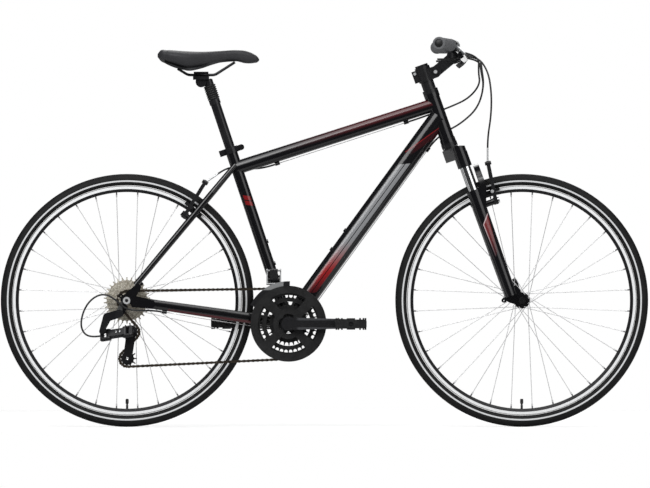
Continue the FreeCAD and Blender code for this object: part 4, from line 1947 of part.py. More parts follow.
tubes = make_front_triangle()
chain_stop_at, chainstay_line = make_rear_triangle()
collar_bolt = make_bearings()
saddle_head = make_seat()
make_fork()
make_wheels()
wheels, spots, cage_turn = make_chain()
make_cassette(spots)
make_cranks(spots)
gears = make_rear_derailleur(wheels, spots)
changer_pivot, changer_top = make_front_derailleur()
brakes = {"front": make_brake("front", on_leg, steer_up, steer_front, size.front_arm_out, UP),
          "rear": make_brake("rear", on_stay, stay_up, stay_back, size.rear_arm_out, Vector(0.82, 0, 0.57))}
pivots = make_cockpit()
make_cables(tubes, pivots, brakes, gears)

# Quick-release levers on the seat collar and on both axles
collar_lever_at = collar_bolt + LEFT * (13 + float(size.release_barrel) + float(size.link_play))
node("seat_release_lever", release_lever("seat_release", collar_lever_at, seat_up, seat_front, LEFT))
release_pivots = {}
for wheel, centre, spacing, thick, arm_line in (
        ("front", front_axle_at, size.front_spacing, size.fork_dropout_thick, steer_up),
        ("rear", rear_axle_at, size.rear_spacing, size.dropout_thick, stay_up)):
    face = float(spacing) / 2 + float(thick) + float(size.nut_thick) - 2
    pivot = centre + LEFT * (face + float(size.release_barrel) + float(size.link_play))
    hinge = arm_line.cross(LEFT).normalize()
    release_pivots[wheel] = (pivot, hinge)
    node(f"{wheel}_release_lever", release_lever(f"{wheel}_release", pivot, hinge, arm_line, LEFT))

doc.recompute()
faults = [item.Label for item in doc.Objects if "Invalid" in item.State or "Error" in item.State]
for name, item in nodes.items():
    shape = item.Shape
    if shape.isNull() or not shape.isValid() or not shape.Solids:
        faults.append(name)
if faults:
    raise RuntimeError(f"These pieces failed: {faults}")
os.makedirs("parts", exist_ok=True)
for name, item in nodes.items():
    item.Shape.exportStep(f"parts/{name}.step")
print(f"{len(nodes)} nodes, {sum(len(item.Shape.Solids) for item in nodes.values())} solids")
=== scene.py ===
# %% [markdown]
# # A hybrid bike, dressed for the studio
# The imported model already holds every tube, wheel and lever in its true place, in metres. This lesson gives those
# parts their finishes, and makes afresh the pieces that a plain solid shows badly: the saddle, the rubber, the tyres,
# the chain and the cables.

# %% Load the frame
import math

import bmesh
import bpy
import numpy as np
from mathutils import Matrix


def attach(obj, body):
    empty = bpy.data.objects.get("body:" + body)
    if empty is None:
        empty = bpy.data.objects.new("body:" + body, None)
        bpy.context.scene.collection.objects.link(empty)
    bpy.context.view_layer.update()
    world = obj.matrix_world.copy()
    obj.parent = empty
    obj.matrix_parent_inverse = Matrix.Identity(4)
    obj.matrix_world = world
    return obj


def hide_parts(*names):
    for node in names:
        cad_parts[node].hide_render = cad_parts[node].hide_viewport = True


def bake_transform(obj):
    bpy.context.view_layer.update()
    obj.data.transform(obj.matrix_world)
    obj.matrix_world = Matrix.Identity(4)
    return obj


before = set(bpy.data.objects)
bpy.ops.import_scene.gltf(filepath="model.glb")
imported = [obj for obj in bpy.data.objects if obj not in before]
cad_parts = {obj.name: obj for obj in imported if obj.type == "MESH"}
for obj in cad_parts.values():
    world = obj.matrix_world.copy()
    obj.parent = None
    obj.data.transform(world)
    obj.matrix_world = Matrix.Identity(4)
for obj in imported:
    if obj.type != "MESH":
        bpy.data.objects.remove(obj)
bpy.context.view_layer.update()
scene = bpy.context.scene

# %% [markdown]
# ## Camera
# The photograph is a catalogue picture, taken square to the chain side from far away, so tubes hardly converge. A long
# lens thirty metres off gives the same view. The camera looks along +Y, level, at the middle of the bike.

# %% Camera
VIEW_DISTANCE = 30.0
VIEW_WIDTH = 1.794
VIEW_CENTRE = (0.0016, 0.5046)
SENSOR_WIDTH = 36.0
optics = bpy.data.cameras.new("camera")
optics.sensor_width = SENSOR_WIDTH
optics.lens = SENSOR_WIDTH * VIEW_DISTANCE / VIEW_WIDTH
camera = bpy.data.objects.new("camera", optics)
camera.location = (VIEW_CENTRE[0], -VIEW_DISTANCE, VIEW_CENTRE[1])
camera.rotation_euler = (math.radians(90), 0, 0)
scene.collection.objects.link(camera)
scene.camera = camera
scene.view_settings.view_transform = "Standard"
print("lens", round(optics.lens, 1), "mm")

# %% [markdown]
# ## Shader arithmetic
# A finish is a small sum over places: how far along a tube a point lies, whether it is inside a stripe, how rough it
# is there. Written as node graphs such sums are hard to read, so one class wraps a socket and lets Python's own
# operators add the Math nodes.


# %% The socket wrapper
class Wire:
    """An output socket; arithmetic on it adds Math nodes to its tree."""

    def __init__(self, socket):
        self.socket = socket
        self.tree = socket.id_data

    @staticmethod
    def feed(socket, value):
        """Give a socket a value or a wire."""
        if isinstance(value, Wire):
            value.tree.links.new(value.socket, socket)
        else:
            socket.default_value = value

    @staticmethod
    def add(tree, kind, settings=None, output=0, **inputs):
        """A node of that kind: its settings are set first, then its sockets, which are named or numbered (_0, _1)."""
        node = tree.nodes.new(kind)
        for name, value in (settings or {}).items():
            setattr(node, name, value)
        for name, value in inputs.items():
            Wire.feed(node.inputs[int(name[1:]) if name[0] == "_" else name.replace("_", " ")], value)
        return Wire(node.outputs[output])

    def math(self, operation, other=0.0, swapped=False):
        """One Math node on this value and the other."""
        first, second = (other, self) if swapped else (self, other)
        return Wire.add(self.tree, "ShaderNodeMath", {"operation": operation}, _0=first, _1=second)

    def vector(self, operation, other, output="Vector"):
        """One Vector Math node on this vector and the other."""
        return Wire.add(self.tree, "ShaderNodeVectorMath", {"operation": operation}, output, _0=self, _1=other)

    def __add__(self, other):
        return self.math("ADD", other)

    __radd__ = __add__

    def __sub__(self, other):
        return self.math("SUBTRACT", other)

    def __rsub__(self, other):
        return self.math("SUBTRACT", other, True)

    def __mul__(self, other):
        return self.math("MULTIPLY", other)

    def __abs__(self):
        return self.math("ABSOLUTE")

    def step(self, low, high):
        """0 below low, 1 above high, smooth between."""
        settings = {"interpolation_type": "SMOOTHSTEP"}
        return Wire.add(self.tree, "ShaderNodeMapRange", settings, Value=self, From_Min=low, From_Max=high)

    def within(self, low, high, soft=0.0004):
        """1 between low and high, 0 outside, with a soft edge."""
        return self.step(low - soft, low + soft) * (1 - self.step(high - soft, high + soft))

    def mix(self, first, second):
        """A colour that is first where this value is 0 and second where it is 1."""
        settings = {"data_type": "RGBA"}
        return Wire.add(self.tree, "ShaderNodeMix", settings, output=2, _0=self, _6=first, _7=second)


FINISHES = {}


class Finish:
    """A material with one Principled shader, and the places and patterns that feed it. It is kept under its name."""

    def __init__(self, name, **constants):
        material = FINISHES[name] = bpy.data.materials.new(name)
        material.use_nodes = True
        self.tree = material.node_tree
        self.shader = self.tree.nodes["Principled BSDF"]
        self.place = Wire.add(self.tree, "ShaderNodeTexCoord", output="Object")
        for key, value in constants.items():
            self.set(key, value)

    def set(self, name, value):
        """Feed the shader's socket of that name."""
        Wire.feed(self.shader.inputs[name.replace("_", " ")], value)

    def axis(self, number):
        """A point's X, Y or Z, in metres."""
        return Wire.add(self.tree, "ShaderNodeSeparateXYZ", output=number, Vector=self.place)

    def along(self, origin, direction):
        """How far a point lies from the origin along the direction, in metres."""
        return self.place.vector("SUBTRACT", origin).vector("DOT_PRODUCT", direction, "Value")

    def radius(self, centre):
        """How far a point lies from an axle that runs across the bike through the centre."""
        return self.place.vector("MULTIPLY", (1, 0, 1)).vector("DISTANCE", centre, "Value")

    def noise(self, scale, detail=3.0, stretch=None):
        """Cloudy values near 0.5, drawn out along an axis where stretch is given."""
        place = self.place if stretch is None else self.place.vector("MULTIPLY", stretch)
        return Wire.add(self.tree, "ShaderNodeTexNoise", Vector=place, Scale=scale, Detail=detail)

    def bump(self, height, strength, distance):
        """Let the height bend the shader's normal."""
        self.set("Normal", Wire.add(self.tree, "ShaderNodeBump", Height=height, Strength=strength, Distance=distance))


# %% [markdown]
# ## Paint
# The frame wears satin black lacquer. The top tube turns deep red above, towards the head. The down tube has a plain
# grey band that turns red towards the bottom bracket, and a thin red line near the head. The chainstays are red
# underneath, and each fork leg has a red patch. A mark is a distance along a tube and one across it, so it stays put
# whatever the view. Pairs of numbers are where a mark begins and ends, in metres.

# %% Places on the frame
BRACKET = (-0.09907, 0.0, 0.285)
REAR_AXLE = (-0.5445, 0.0, 0.349)
FRONT_AXLE = (0.5445, 0.0, 0.349)
SEAT_UP = (-0.31565, 0.0, 0.94888)
SEAT_FRONT = (0.94888, 0.0, 0.31565)
DOWN_LINE = (0.58892, 0.0, 0.80819)
DOWN_OVER = (-0.80819, 0.0, 0.58892)
TOP_START = (-0.24206, 0.0, 0.71484)
TOP_LINE = (0.95233, 0.0, 0.30508)
TOP_OVER = (-0.30508, 0.0, 0.95233)
FORK_FOOT = (0.5021, 0.0, 0.334)
STEER_UP = (-0.33381, 0.0, 0.94264)
STEER_FRONT = (0.94264, 0.0, 0.33381)
CHAIN_LINE = (0.98983, 0.0, -0.14223)
CHAIN_OVER = (0.14223, 0.0, 0.98983)

BLACK = (0.0045, 0.0045, 0.0057, 1)
DARK_RED = (0.20, 0.008, 0.010, 1)
DEEP_RED = (0.065, 0.006, 0.009, 1)
BRIGHT_RED = (0.30, 0.012, 0.014, 1)
BAND_GREY = (0.25, 0.255, 0.265, 1)
BARE_METAL = (0.74, 0.75, 0.76, 1)
BLACK_ALLOY = (0.009, 0.009, 0.0105, 1)
TUBE_FLANK = (0.006, 0.008)


def lacquer(name):
    """Satin lacquer: a black coat whose gloss wavers a little, with the faint ripple of sprayed paint."""
    finish = Finish(name, Specular_IOR_Level=0.35, Coat_Weight=0.45, Coat_Roughness=0.10)
    finish.set("Roughness", 0.16 + finish.noise(9.0) * 0.10)
    finish.bump(finish.noise(420.0, 1.0), 0.06, 0.0004)
    return finish


def flank(finish):
    """1 on the sides of a tube, 0 along its top and bottom."""
    return abs(finish.axis(1)).step(*TUBE_FLANK)


# %% Plain black and the top tube
lacquer("plain_black").set("Base_Color", BLACK)

TOP_RED_OVER, TOP_RED_ALONG = (-0.004, 0.006), (0.10, 0.42)
paint = lacquer("top_tube_paint")
length, over = paint.along(TOP_START, TOP_LINE), paint.along(TOP_START, TOP_OVER)
upper = over.step(*TOP_RED_OVER) * length.step(*TOP_RED_ALONG)
paint.set("Base_Color", upper.mix(BLACK, DEEP_RED))

# %% The down tube's band and line
BAND_OVER, BAND_ALONG, BAND_SPLIT, BAND_SLANT = (-0.0115, 0.0125), (0.105, 0.545), (-0.0015, 0.0005), 0.9
BAND_BRIGHTENS, BAND_GREYS = (0.10, 0.19), (0.17, 0.29)
LINE_START, LINE_RISE, LINE_FALL = 0.581, 0.015, 0.33
LINE_OVER, LINE_ALONG = (-0.0012, 0.0014), (0.572, 0.70)
SHADE_OVER, SHADE_ALONG, SHADE_DEPTH = (-0.016, 0.0, 0.0008), (0.585, 0.70, 0.02), 0.5
paint = lacquer("down_tube_paint")
length, over = paint.along(BRACKET, DOWN_LINE), paint.along(BRACKET, DOWN_OVER)
slant = length + over * BAND_SLANT
band = over.within(*BAND_OVER) * slant.within(*BAND_ALONG) * flank(paint)
gap = 1 - over.within(*BAND_SPLIT)
reds = slant.step(*BAND_BRIGHTENS).mix(DEEP_RED, BRIGHT_RED)
coloured = (band * gap).mix(BLACK, slant.step(*BAND_GREYS).mix(reds, BAND_GREY))
swoop = over - LINE_RISE + (length - LINE_START) * LINE_FALL
shaded = swoop.within(*SHADE_OVER) * length.within(*SHADE_ALONG) * flank(paint)
line = swoop.within(*LINE_OVER) * length.within(*LINE_ALONG) * flank(paint)
paint.set("Base_Color", line.mix((shaded * SHADE_DEPTH).mix(coloured, DEEP_RED), DARK_RED))

# %% The seat tube's mark
MARK_ALONG, MARK_SPLIT, MARK_WIDE, MARK_SLANT = (0.344, 0.372), (0.3565, 0.3595), (-0.008, 0.010), 0.5
paint = lacquer("seat_tube_paint")
length, front = paint.along(BRACKET, SEAT_UP), paint.along(BRACKET, SEAT_FRONT)
slant = length + front * MARK_SLANT
mark = slant.within(*MARK_ALONG) * front.within(*MARK_WIDE) * (1 - slant.within(*MARK_SPLIT))
paint.set("Base_Color", (mark * flank(paint)).mix(BLACK, DARK_RED))

# %% The chainstays' underside and the bare hanger
STAY_RED_OVER, STAY_RED_ALONG = (-0.0085, -0.006), (0.116, 0.36)
HANGER_EDGES = ((-0.5569, -0.5563), (-0.004, -0.002), (0.3458, 0.3464))
paint = lacquer("chainstay_paint")
length, over = paint.along(REAR_AXLE, CHAIN_LINE), paint.along(REAR_AXLE, CHAIN_OVER)
underside = (1 - over.step(*STAY_RED_OVER)) * length.within(*STAY_RED_ALONG)
behind, aside, below = (1 - paint.axis(number).step(*edge) for number, edge in enumerate(HANGER_EDGES))
hanger = behind * below * aside
paint.set("Base_Color", hanger.mix(underside.mix(BLACK, DEEP_RED), BARE_METAL))
paint.set("Metallic", hanger)

# %% The fork's patch with its pale outline, and the bolts in its brake bosses
LEG_OUTSIDE, CRISP, BOLT_END = (0.060, 0.062), (-0.0004, 0.0004), (0.0720, 0.0726)
TOP_FRONT, TOP_LEAN = 0.022, 1.2
REAR_FRONT, REAR_HEIGHT, REAR_LEAN = 0.0164, 0.141, 0.035
FRONT_FRONT, FRONT_HEIGHT, FRONT_LEAN = 0.0265, 0.147, 0.077
PATCH_TALL, PATCH_FADES, EDGE_TOP, EDGE_REAR = (0.1445, 0.2434), (0.13, 0.235), (0.2386, 0.2394), (0.0022, 0.0030)
EDGE_LOW, EDGE_HIGH = (0.06, 0.035, 0.04, 1), (0.50, 0.38, 0.39, 1)
PATCH_LOW, PATCH_HIGH = (0.03, 0.006, 0.008, 1), (0.17, 0.028, 0.030, 1)
paint = lacquer("fork_paint")
height, front = paint.along(FORK_FOOT, STEER_UP), paint.along(FORK_FOOT, STEER_FRONT)
top_edge = height - (front - TOP_FRONT) * TOP_LEAN
rear_edge = front - REAR_FRONT + (height - REAR_HEIGHT) * REAR_LEAN
front_edge = FRONT_FRONT + (height - FRONT_HEIGHT) * FRONT_LEAN - front
patch = top_edge.within(*PATCH_TALL) * rear_edge.step(*CRISP) * front_edge.step(*CRISP)
patch = patch * abs(paint.axis(1)).step(*LEG_OUTSIDE)
inside = (1 - top_edge.step(*EDGE_TOP)) * rear_edge.step(*EDGE_REAR)
fading = height.step(*PATCH_FADES)
reds = inside.mix(fading.mix(EDGE_LOW, EDGE_HIGH), fading.mix(PATCH_LOW, PATCH_HIGH))
bolt_end = front.step(*BOLT_END)
paint.set("Base_Color", bolt_end.mix(patch.mix(BLACK, reds), BARE_METAL))
paint.set("Metallic", bolt_end)
print("paints:", len(FINISHES))

# %% [markdown]
# ## Metals, rubber and resin
# Bare metal shows its making: fine lines from the lathe or the brush, and slight stains. Rubber is matt with a faint
# bloom. Black resin has a fine grain. Each finish is one short function of noise.


# %% Finishes of metal and resin
STAIN, BLOOM, BLOOM_GREY = 0.18, 0.012, 0.5


def towards(colour, grey, share):
    """The colour, moved that share of the way to a grey."""
    return tuple(c + share * (grey - c) for c in colour[:3]) + (1,)


def brushed(name, colour, low, high, scale, stretch=None):
    """Metal whose roughness runs between low and high in fine lines, drawn out where stretch is given."""
    finish = Finish(name, Metallic=1.0)
    lines = finish.noise(scale, 4.0, stretch)
    shade = finish.noise(14.0, 2.0)
    finish.set("Base_Color", shade.step(0.35, 0.7).mix(towards(colour, 0.0, STAIN), colour))
    finish.set("Roughness", low + lines * (high - low))
    finish.bump(lines, 0.08, 0.0003)


def grained(name, colour, roughness, scale, strength):
    """Rubber or resin: fine grain, and patches a little paler than the rest."""
    finish = Finish(name, Specular_IOR_Level=0.35)
    patches = finish.noise(30.0, 4.0).step(0.35, 0.75)
    finish.set("Base_Color", patches.mix(colour, towards(colour, BLOOM_GREY, BLOOM)))
    finish.set("Roughness", roughness - 0.06 + finish.noise(60.0) * 0.12)
    finish.bump(finish.noise(scale, 2.0), strength, 0.0004)


SPOKE_STEEL = (0.74, 0.74, 0.75, 1)
brushed("bright_steel", (0.80, 0.81, 0.82, 1), 0.06, 0.16, 260.0, (1, 1, 0.05))
brushed("spoke_steel", SPOKE_STEEL, 0.22, 0.34, 200.0)
brushed("chain_steel", (0.115, 0.095, 0.075, 1), 0.30, 0.46, 300.0)
brushed("dark_steel", (0.045, 0.045, 0.048, 1), 0.30, 0.45, 300.0)
grained("black_alloy", BLACK_ALLOY, 0.26, 900.0, 0.05)
grained("black_plastic", (0.009, 0.009, 0.0095, 1), 0.44, 1200.0, 0.12)
grained("black_rubber", (0.009, 0.009, 0.009, 1), 0.60, 700.0, 0.15)
grained("grip_rubber", (0.115, 0.117, 0.122, 1), 0.70, 900.0, 0.20)
grained("cable_sheath", (0.018, 0.018, 0.019, 1), 0.34, 600.0, 0.05)

GEAR_LINES = 1500.0
GEAR_TOOTH_SHADE, GEAR_DARK, GEAR_PALE = (0.36, 0.325, 0.26, 1), (0.60, 0.565, 0.48, 1), (0.80, 0.77, 0.69, 1)
# Pale and dark rings and darker specks are painted light and shade: the stacked sprockets' steps and the gaps between
# their teeth.
gear = Finish("gear_steel", Metallic=0.25)
rings = (gear.radius(REAR_AXLE) * GEAR_LINES).math("SINE") * 0.5 + 0.5
tooth_shade = gear.noise(330.0, 2.0).step(0.40, 0.60)
gear.set("Base_Color", tooth_shade.mix(GEAR_TOOTH_SHADE, rings.mix(GEAR_DARK, GEAR_PALE)))
gear.set("Roughness", 0.28 + tooth_shade * 0.14)


# %% Black parts with bare metal on them, and cranks with a painted highlight
STEM_BOLTS = [((0.3063, 0, 0.9797), 0.0048), ((0.2491, 0, 0.9734), 0.0040)]
PAD_NUT, NUT_RADIUS, NUT_SIDE, PIPE_SIDE = (0.4624, 0, 0.6499), 0.0045, (0.0452, 0.0456), (0.0550, 0.0560)
LEVER_CLAMP, LEVER_LINE, LEVER_OVER = (0.3516, 0, 1.0496), (0.7207, 0, -0.6932), (0.6932, 0, 0.7207)
LEVER_AHEAD, LEVER_ABOVE = (0.006, 0.008), (0.001, 0.003)
CHANGER_FRONT, GUARD_TOP = (-0.114, -0.112), (0.376, 0.380)
# Where the cranks' painted highlight begins: off the arms' middle line, and away from the axle.
CRANK_HIGHLIGHT_EDGE, CRANK_ROOT = (0.0088, 0.0104), (0.020, 0.030)
AXLE_CORE = (0.0046, 0.0050)


def disc(finish, centre, reach, soft=0.0003):
    """1 within that distance of a line across the bike, 0 outside."""
    return 1 - finish.radius(centre).step(reach - soft, reach + soft)


def partly_bare_or_highlit(name, mask, metal_or_highlight=BARE_METAL, shine=0.5):
    """Black alloy, bare metal where the mask of the finish's places is 1; on the cranks the mask marks a painted
    highlight.
    """
    finish = Finish(name, Specular_IOR_Level=0.5)
    bare_or_highlight = mask(finish)
    finish.set("Base_Color", bare_or_highlight.mix(BLACK_ALLOY, metal_or_highlight))
    finish.set("Metallic", bare_or_highlight * shine)
    finish.set("Roughness", 0.30 - bare_or_highlight * 0.08 + finish.noise(60.0) * 0.08)
    finish.bump(finish.noise(900.0, 2.0), 0.05, 0.0004)


def stem_bolts(finish):
    """The heads of the two bolts in the stem's side."""
    first, second = (disc(finish, *bolt) for bolt in STEM_BOLTS)
    return first.math("MAXIMUM", second)


def brake_metal(finish):
    """The bent pipe outside the left arm, and the nut that holds the pad."""
    aside = finish.axis(1)
    nut = abs(aside).step(*NUT_SIDE) * disc(finish, PAD_NUT, NUT_RADIUS)
    return aside.step(*PIPE_SIDE).math("MAXIMUM", nut)


def lever_body(finish):
    """The upper front of a lever's body, ahead of its clamp."""
    ahead, above = finish.along(LEVER_CLAMP, LEVER_LINE), finish.along(LEVER_CLAMP, LEVER_OVER)
    return ahead.step(*LEVER_AHEAD) * above.step(*LEVER_ABOVE)


def changer_top(finish):
    """The rear of the front derailleur's cage, above the chain guard."""
    return (1 - finish.axis(0).step(*CHANGER_FRONT)) * finish.axis(2).step(*GUARD_TOP)


def crank_edge_highlight(finish):
    """A painted highlight along both edges of the arms, away from the axle."""
    off_line, off_axle = abs(finish.axis(2) - BRACKET[2]), abs(finish.axis(0) - BRACKET[0])
    return off_line.step(*CRANK_HIGHLIGHT_EDGE) * off_axle.step(*CRANK_ROOT)


partly_bare_or_highlit("stem_black", stem_bolts)
partly_bare_or_highlit("brake_black", brake_metal)
partly_bare_or_highlit("axle_ends", lambda finish: finish.radius(REAR_AXLE).step(*AXLE_CORE))
partly_bare_or_highlit("lever_body", lever_body, (0.30, 0.31, 0.32, 1), 0.2)
partly_bare_or_highlit("changer_metal", changer_top, (0.30, 0.305, 0.31, 1), 0.3)
# The cranks' paler edges are a painted highlight.
partly_bare_or_highlit("crank_black", crank_edge_highlight, (0.055, 0.056, 0.060, 1), 0.0)
print("finishes:", len(FINISHES))

# %% [markdown]
# ## Rims and tyres
# A rim is black but for its brake tracks, which are turned bare. The tyre has a pale reflecting line on its wall, and a
# spoke ends in a grey nipple. All of them are bands of radius about the axle.

# %% Finishes of the wheels
WHEELS = (("front", FRONT_AXLE), ("rear", REAR_AXLE))
TRACK, TRACK_SIDE, TRACK_LINES, TRACK_PALE = (0.3075, 0.3149), (0.0113, 0.0117), 9000.0, (0.90, 0.91, 0.92, 1)
STRIPE, STRIPE_PALE = (0.3271, 0.3313, 0.0003), (0.66, 0.67, 0.68, 1)
TYRE_BLACK, TYRE_DUST = (0.009, 0.009, 0.0095, 1), (0.013, 0.013, 0.013, 1)
NIPPLE, NIPPLE_GREY = (0.2926, 0.2930), (0.20, 0.20, 0.205, 1)
for wheel, centre in WHEELS:
    rim = Finish(f"{wheel}_rim", Specular_IOR_Level=0.25)
    radius = rim.radius(centre)
    track = radius.within(*TRACK) * abs(rim.axis(1)).step(*TRACK_SIDE)
    rings = (radius * TRACK_LINES).math("SINE")
    rim.set("Base_Color", track.mix(BLACK_ALLOY, TRACK_PALE))
    rim.set("Metallic", track * 0.1)
    rim.set("Roughness", 0.36 - track * 0.06 + rim.noise(40.0) * 0.06)
    rim.bump(rings * track, 0.10, 0.0002)

    rubber = Finish(f"{wheel}_tyre", Specular_IOR_Level=0.16)
    stripe = rubber.radius(centre).within(*STRIPE)
    dust = rubber.noise(25.0, 4.0).step(0.4, 0.75)
    rubber.set("Base_Color", stripe.mix(dust.mix(TYRE_BLACK, TYRE_DUST), STRIPE_PALE))
    rubber.set("Roughness", 0.62 - stripe * 0.22 + rubber.noise(80.0) * 0.08)
    rubber.bump(rubber.noise(900.0, 2.0), 0.15, 0.0004)

    spoke = Finish(f"{wheel}_spokes", Metallic=0.4)
    nipple = spoke.radius(centre).step(*NIPPLE)
    spoke.set("Base_Color", nipple.mix(SPOKE_STEEL, NIPPLE_GREY))
    spoke.set("Roughness", 0.22 + spoke.noise(200.0) * 0.12)
print("wheel finishes made")

# %% [markdown]
# ## Dressing the fixed parts
# Each fixed part keeps its mesh and only takes a material. One list from finish to parts is easy to check.

# %% Dress the CAD parts
WEARS = {
    "plain_black": ["head_tube", "seatstays"],
    "top_tube_paint": ["top_tube"],
    "down_tube_paint": ["down_tube"],
    "seat_tube_paint": ["seat_tube"],
    "chainstay_paint": ["chainstays"],
    "fork_paint": ["fork_crown", "fork_lowers"],
    "black_alloy": ["headset_cups", "seat_collar", "seatpost", "seatpost_plunger", "handlebar", "seat_release_lever",
                    "front_release_lever", "rear_release_lever", "derailleur_knuckle", "derailleur_link",
                    "derailleur_carrier", "front_derailleur_clamp", "front_derailleur_link", "front_hub", "rear_hub",
                    "brake_lever_right", "brake_lever_left"],
    "crank_black": ["cranks"],
    "stem_black": ["stem_base", "stem_arm"],
    "brake_black": ["front_brake_arm_right", "front_brake_arm_left", "rear_brake_arm_right", "rear_brake_arm_left"],
    "axle_ends": ["rear_axle"],
    "lever_body": ["control_brackets"],
    "bright_steel": ["stanchions"],
    "changer_metal": ["front_derailleur_cage"],
    "front_rim": ["front_rim"],
    "rear_rim": ["rear_rim"],
    "front_spokes": ["front_spokes"],
    "rear_spokes": ["rear_spokes"],
    "gear_steel": ["cassette"],
    "dark_steel": ["bottom_bracket_cartridge", "front_axle", "derailleur_cage", "saddle_frame"],
    "black_plastic": ["shift_lever_right", "shift_lever_left", "pedal_right", "pedal_left", "chainrings",
                      "guide_pulley", "tension_pulley"],
}


def wear(piece, finish):
    """The piece's one material slot holds that finish."""
    if not piece.material_slots:
        piece.data.materials.append(None)
    for place in piece.material_slots:
        place.link = "OBJECT"
        place.material = FINISHES[finish]


for finish_name, parts in WEARS.items():
    for part in parts:
        wear(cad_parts[part], finish_name)
print("dressed:", sum(len(parts) for parts in WEARS.values()))

# %% [markdown]
# ## Surfaces from formulas
# Nearly all that is new is a grid of points: one parameter runs along the piece and one round it. Numpy works the
# whole grid out at once, and the faces follow from its numbering.


# %% Grid helpers
def mesh_piece(name, points, faces, finish, smooth=True):
    """A piece of these faces, all turned outwards. In a smooth piece, points at the same place become one."""
    mesh = bpy.data.meshes.new(name)
    mesh.from_pydata(points.reshape(-1, 3).tolist(), [], faces)
    work = bmesh.new()
    work.from_mesh(mesh)
    if smooth:
        bmesh.ops.remove_doubles(work, verts=work.verts, dist=1e-6)
    bmesh.ops.recalc_face_normals(work, faces=work.faces)
    work.to_mesh(mesh)
    work.free()
    mesh.polygons.foreach_set("use_smooth", np.full(len(mesh.polygons), smooth))
    piece = bpy.data.objects.new(name, mesh)
    scene.collection.objects.link(piece)
    wear(piece, finish)
    return piece


def grid_piece(name, points, finish, closed_along=False):
    """A mesh over points[i, j]: j runs round and closes, i runs along. Rings that shrink to a point close the ends."""
    rows, columns = points.shape[:2]
    number = np.arange(rows * columns).reshape(rows, columns)
    low, high = (number, np.roll(number, -1, 0)) if closed_along else (number[:-1], number[1:])
    faces = np.stack([low, np.roll(low, -1, 1), np.roll(high, -1, 1), high], -1).reshape(-1, 4)
    return mesh_piece(name, points, faces.tolist(), finish)


def unit(vector):
    """The vector, or each of a row of vectors, brought to length 1."""
    vector = np.asarray(vector, float)
    return vector / np.linalg.norm(vector, axis=-1, keepdims=True)


def nearest(line, place):
    """The number of the line's point that lies nearest to the place."""
    return int(np.argmin(np.linalg.norm(line - np.asarray(place), axis=1)))


def turned_points(profile, origin, axis, around=48):
    """Profile rows (radius, height) spun about an axis: origin + height * axis + radius * (cos, sin) across it."""
    profile = np.asarray(profile, float)
    axis = unit(axis)
    side = unit(np.cross(axis, (0.0, 1.0, 0.0) if abs(axis[1]) < 0.9 else (1.0, 0.0, 0.0)))
    other = np.cross(axis, side)
    turn = np.linspace(0, 2 * math.pi, around, endpoint=False)
    ring = np.cos(turn)[:, None] * side + np.sin(turn)[:, None] * other
    return np.asarray(origin) + profile[:, 1, None, None] * axis + profile[:, 0, None, None] * ring


OFF_AXIS = (0.31, 0.87, 0.38)


def tube_points(path, radius, around=14):
    """A circle of that radius carried along the path, square to it; its ends shrink to points."""
    path = np.asarray(path, float)
    run = unit(np.gradient(path, axis=0))
    side = unit(np.cross(run, OFF_AXIS))
    other = np.cross(run, side)
    turn = np.linspace(0, 2 * math.pi, around, endpoint=False)
    ring = np.cos(turn)[:, None] * side[:, None] + np.sin(turn)[:, None] * other[:, None]
    body = path[:, None] + radius * ring
    ends = [np.repeat(path[[i]][:, None], around, 1) for i in (0, -1)]
    return np.concatenate([ends[0], body, ends[1]])


def finish_piece(piece, body, slot, *replaced):
    """The piece moves with the body and stands for the nodes that it replaces. The slot is not used."""
    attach(piece, body)
    if replaced:
        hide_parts(*replaced)
    print(piece.name, len(piece.data.polygons), "faces")


# %% [markdown]
# ## Tyres
# A tyre is a circle of rubber bent round the rim, closed inside, with shallow slanted grooves across the crown. The
# grooves only cut in, so the outer radius stays that of the CAD tyre.


# %% Tyres
TYRE_RING, TYRE_SECTION, TYRE_WALL = 0.3316, 0.0174, 0.0022
BEAD_TURN = math.radians(143)
GROOVES, GROOVE_LEAN, GROOVE_DEPTH, GROOVE_EDGE = 108, 16.0, 0.0011, (0.55, 0.35)
SHOULDER_NEAR, SHOULDER_FAR = (0.14, 0.08), (-0.95, 0.12)
CROWN_LINE, CROWN_HALF = 0.10, 0.045


def ramp(value, start, width):
    """0 up to the start, then rising to 1 over the width."""
    return np.clip((value - start) / width, 0, 1)


def tyre_points(centre, around=1080, across=44, inside=10):
    """Points centre + (ring + r cos a) outwards + r sin a sideways, where r dips in the grooves near a = 0."""
    outer = np.linspace(-BEAD_TURN, BEAD_TURN, across)
    turn = np.linspace(0, 2 * math.pi, around, endpoint=False)[:, None]
    off = np.abs(outer)
    cut = ramp(np.cos(GROOVES * (turn - off * GROOVE_LEAN / GROOVES)), *GROOVE_EDGE)
    shoulder = ramp(off, *SHOULDER_NEAR) * ramp(-off, *SHOULDER_FAR)
    middle = np.clip(1 - np.abs(off - CROWN_LINE) / CROWN_HALF, 0, 1)
    depth = GROOVE_DEPTH * np.maximum(cut * shoulder, middle * np.ones_like(turn))
    angle = np.concatenate([outer, np.linspace(BEAD_TURN, -BEAD_TURN, inside)])
    reach = np.concatenate([TYRE_SECTION - depth, np.full((around, inside), TYRE_SECTION - TYRE_WALL)], 1)
    out = TYRE_RING + reach * np.cos(angle)
    sideways = reach * np.sin(angle)
    return np.stack([centre[0] + out * np.cos(turn), centre[1] + sideways, centre[2] + out * np.sin(turn)], -1)


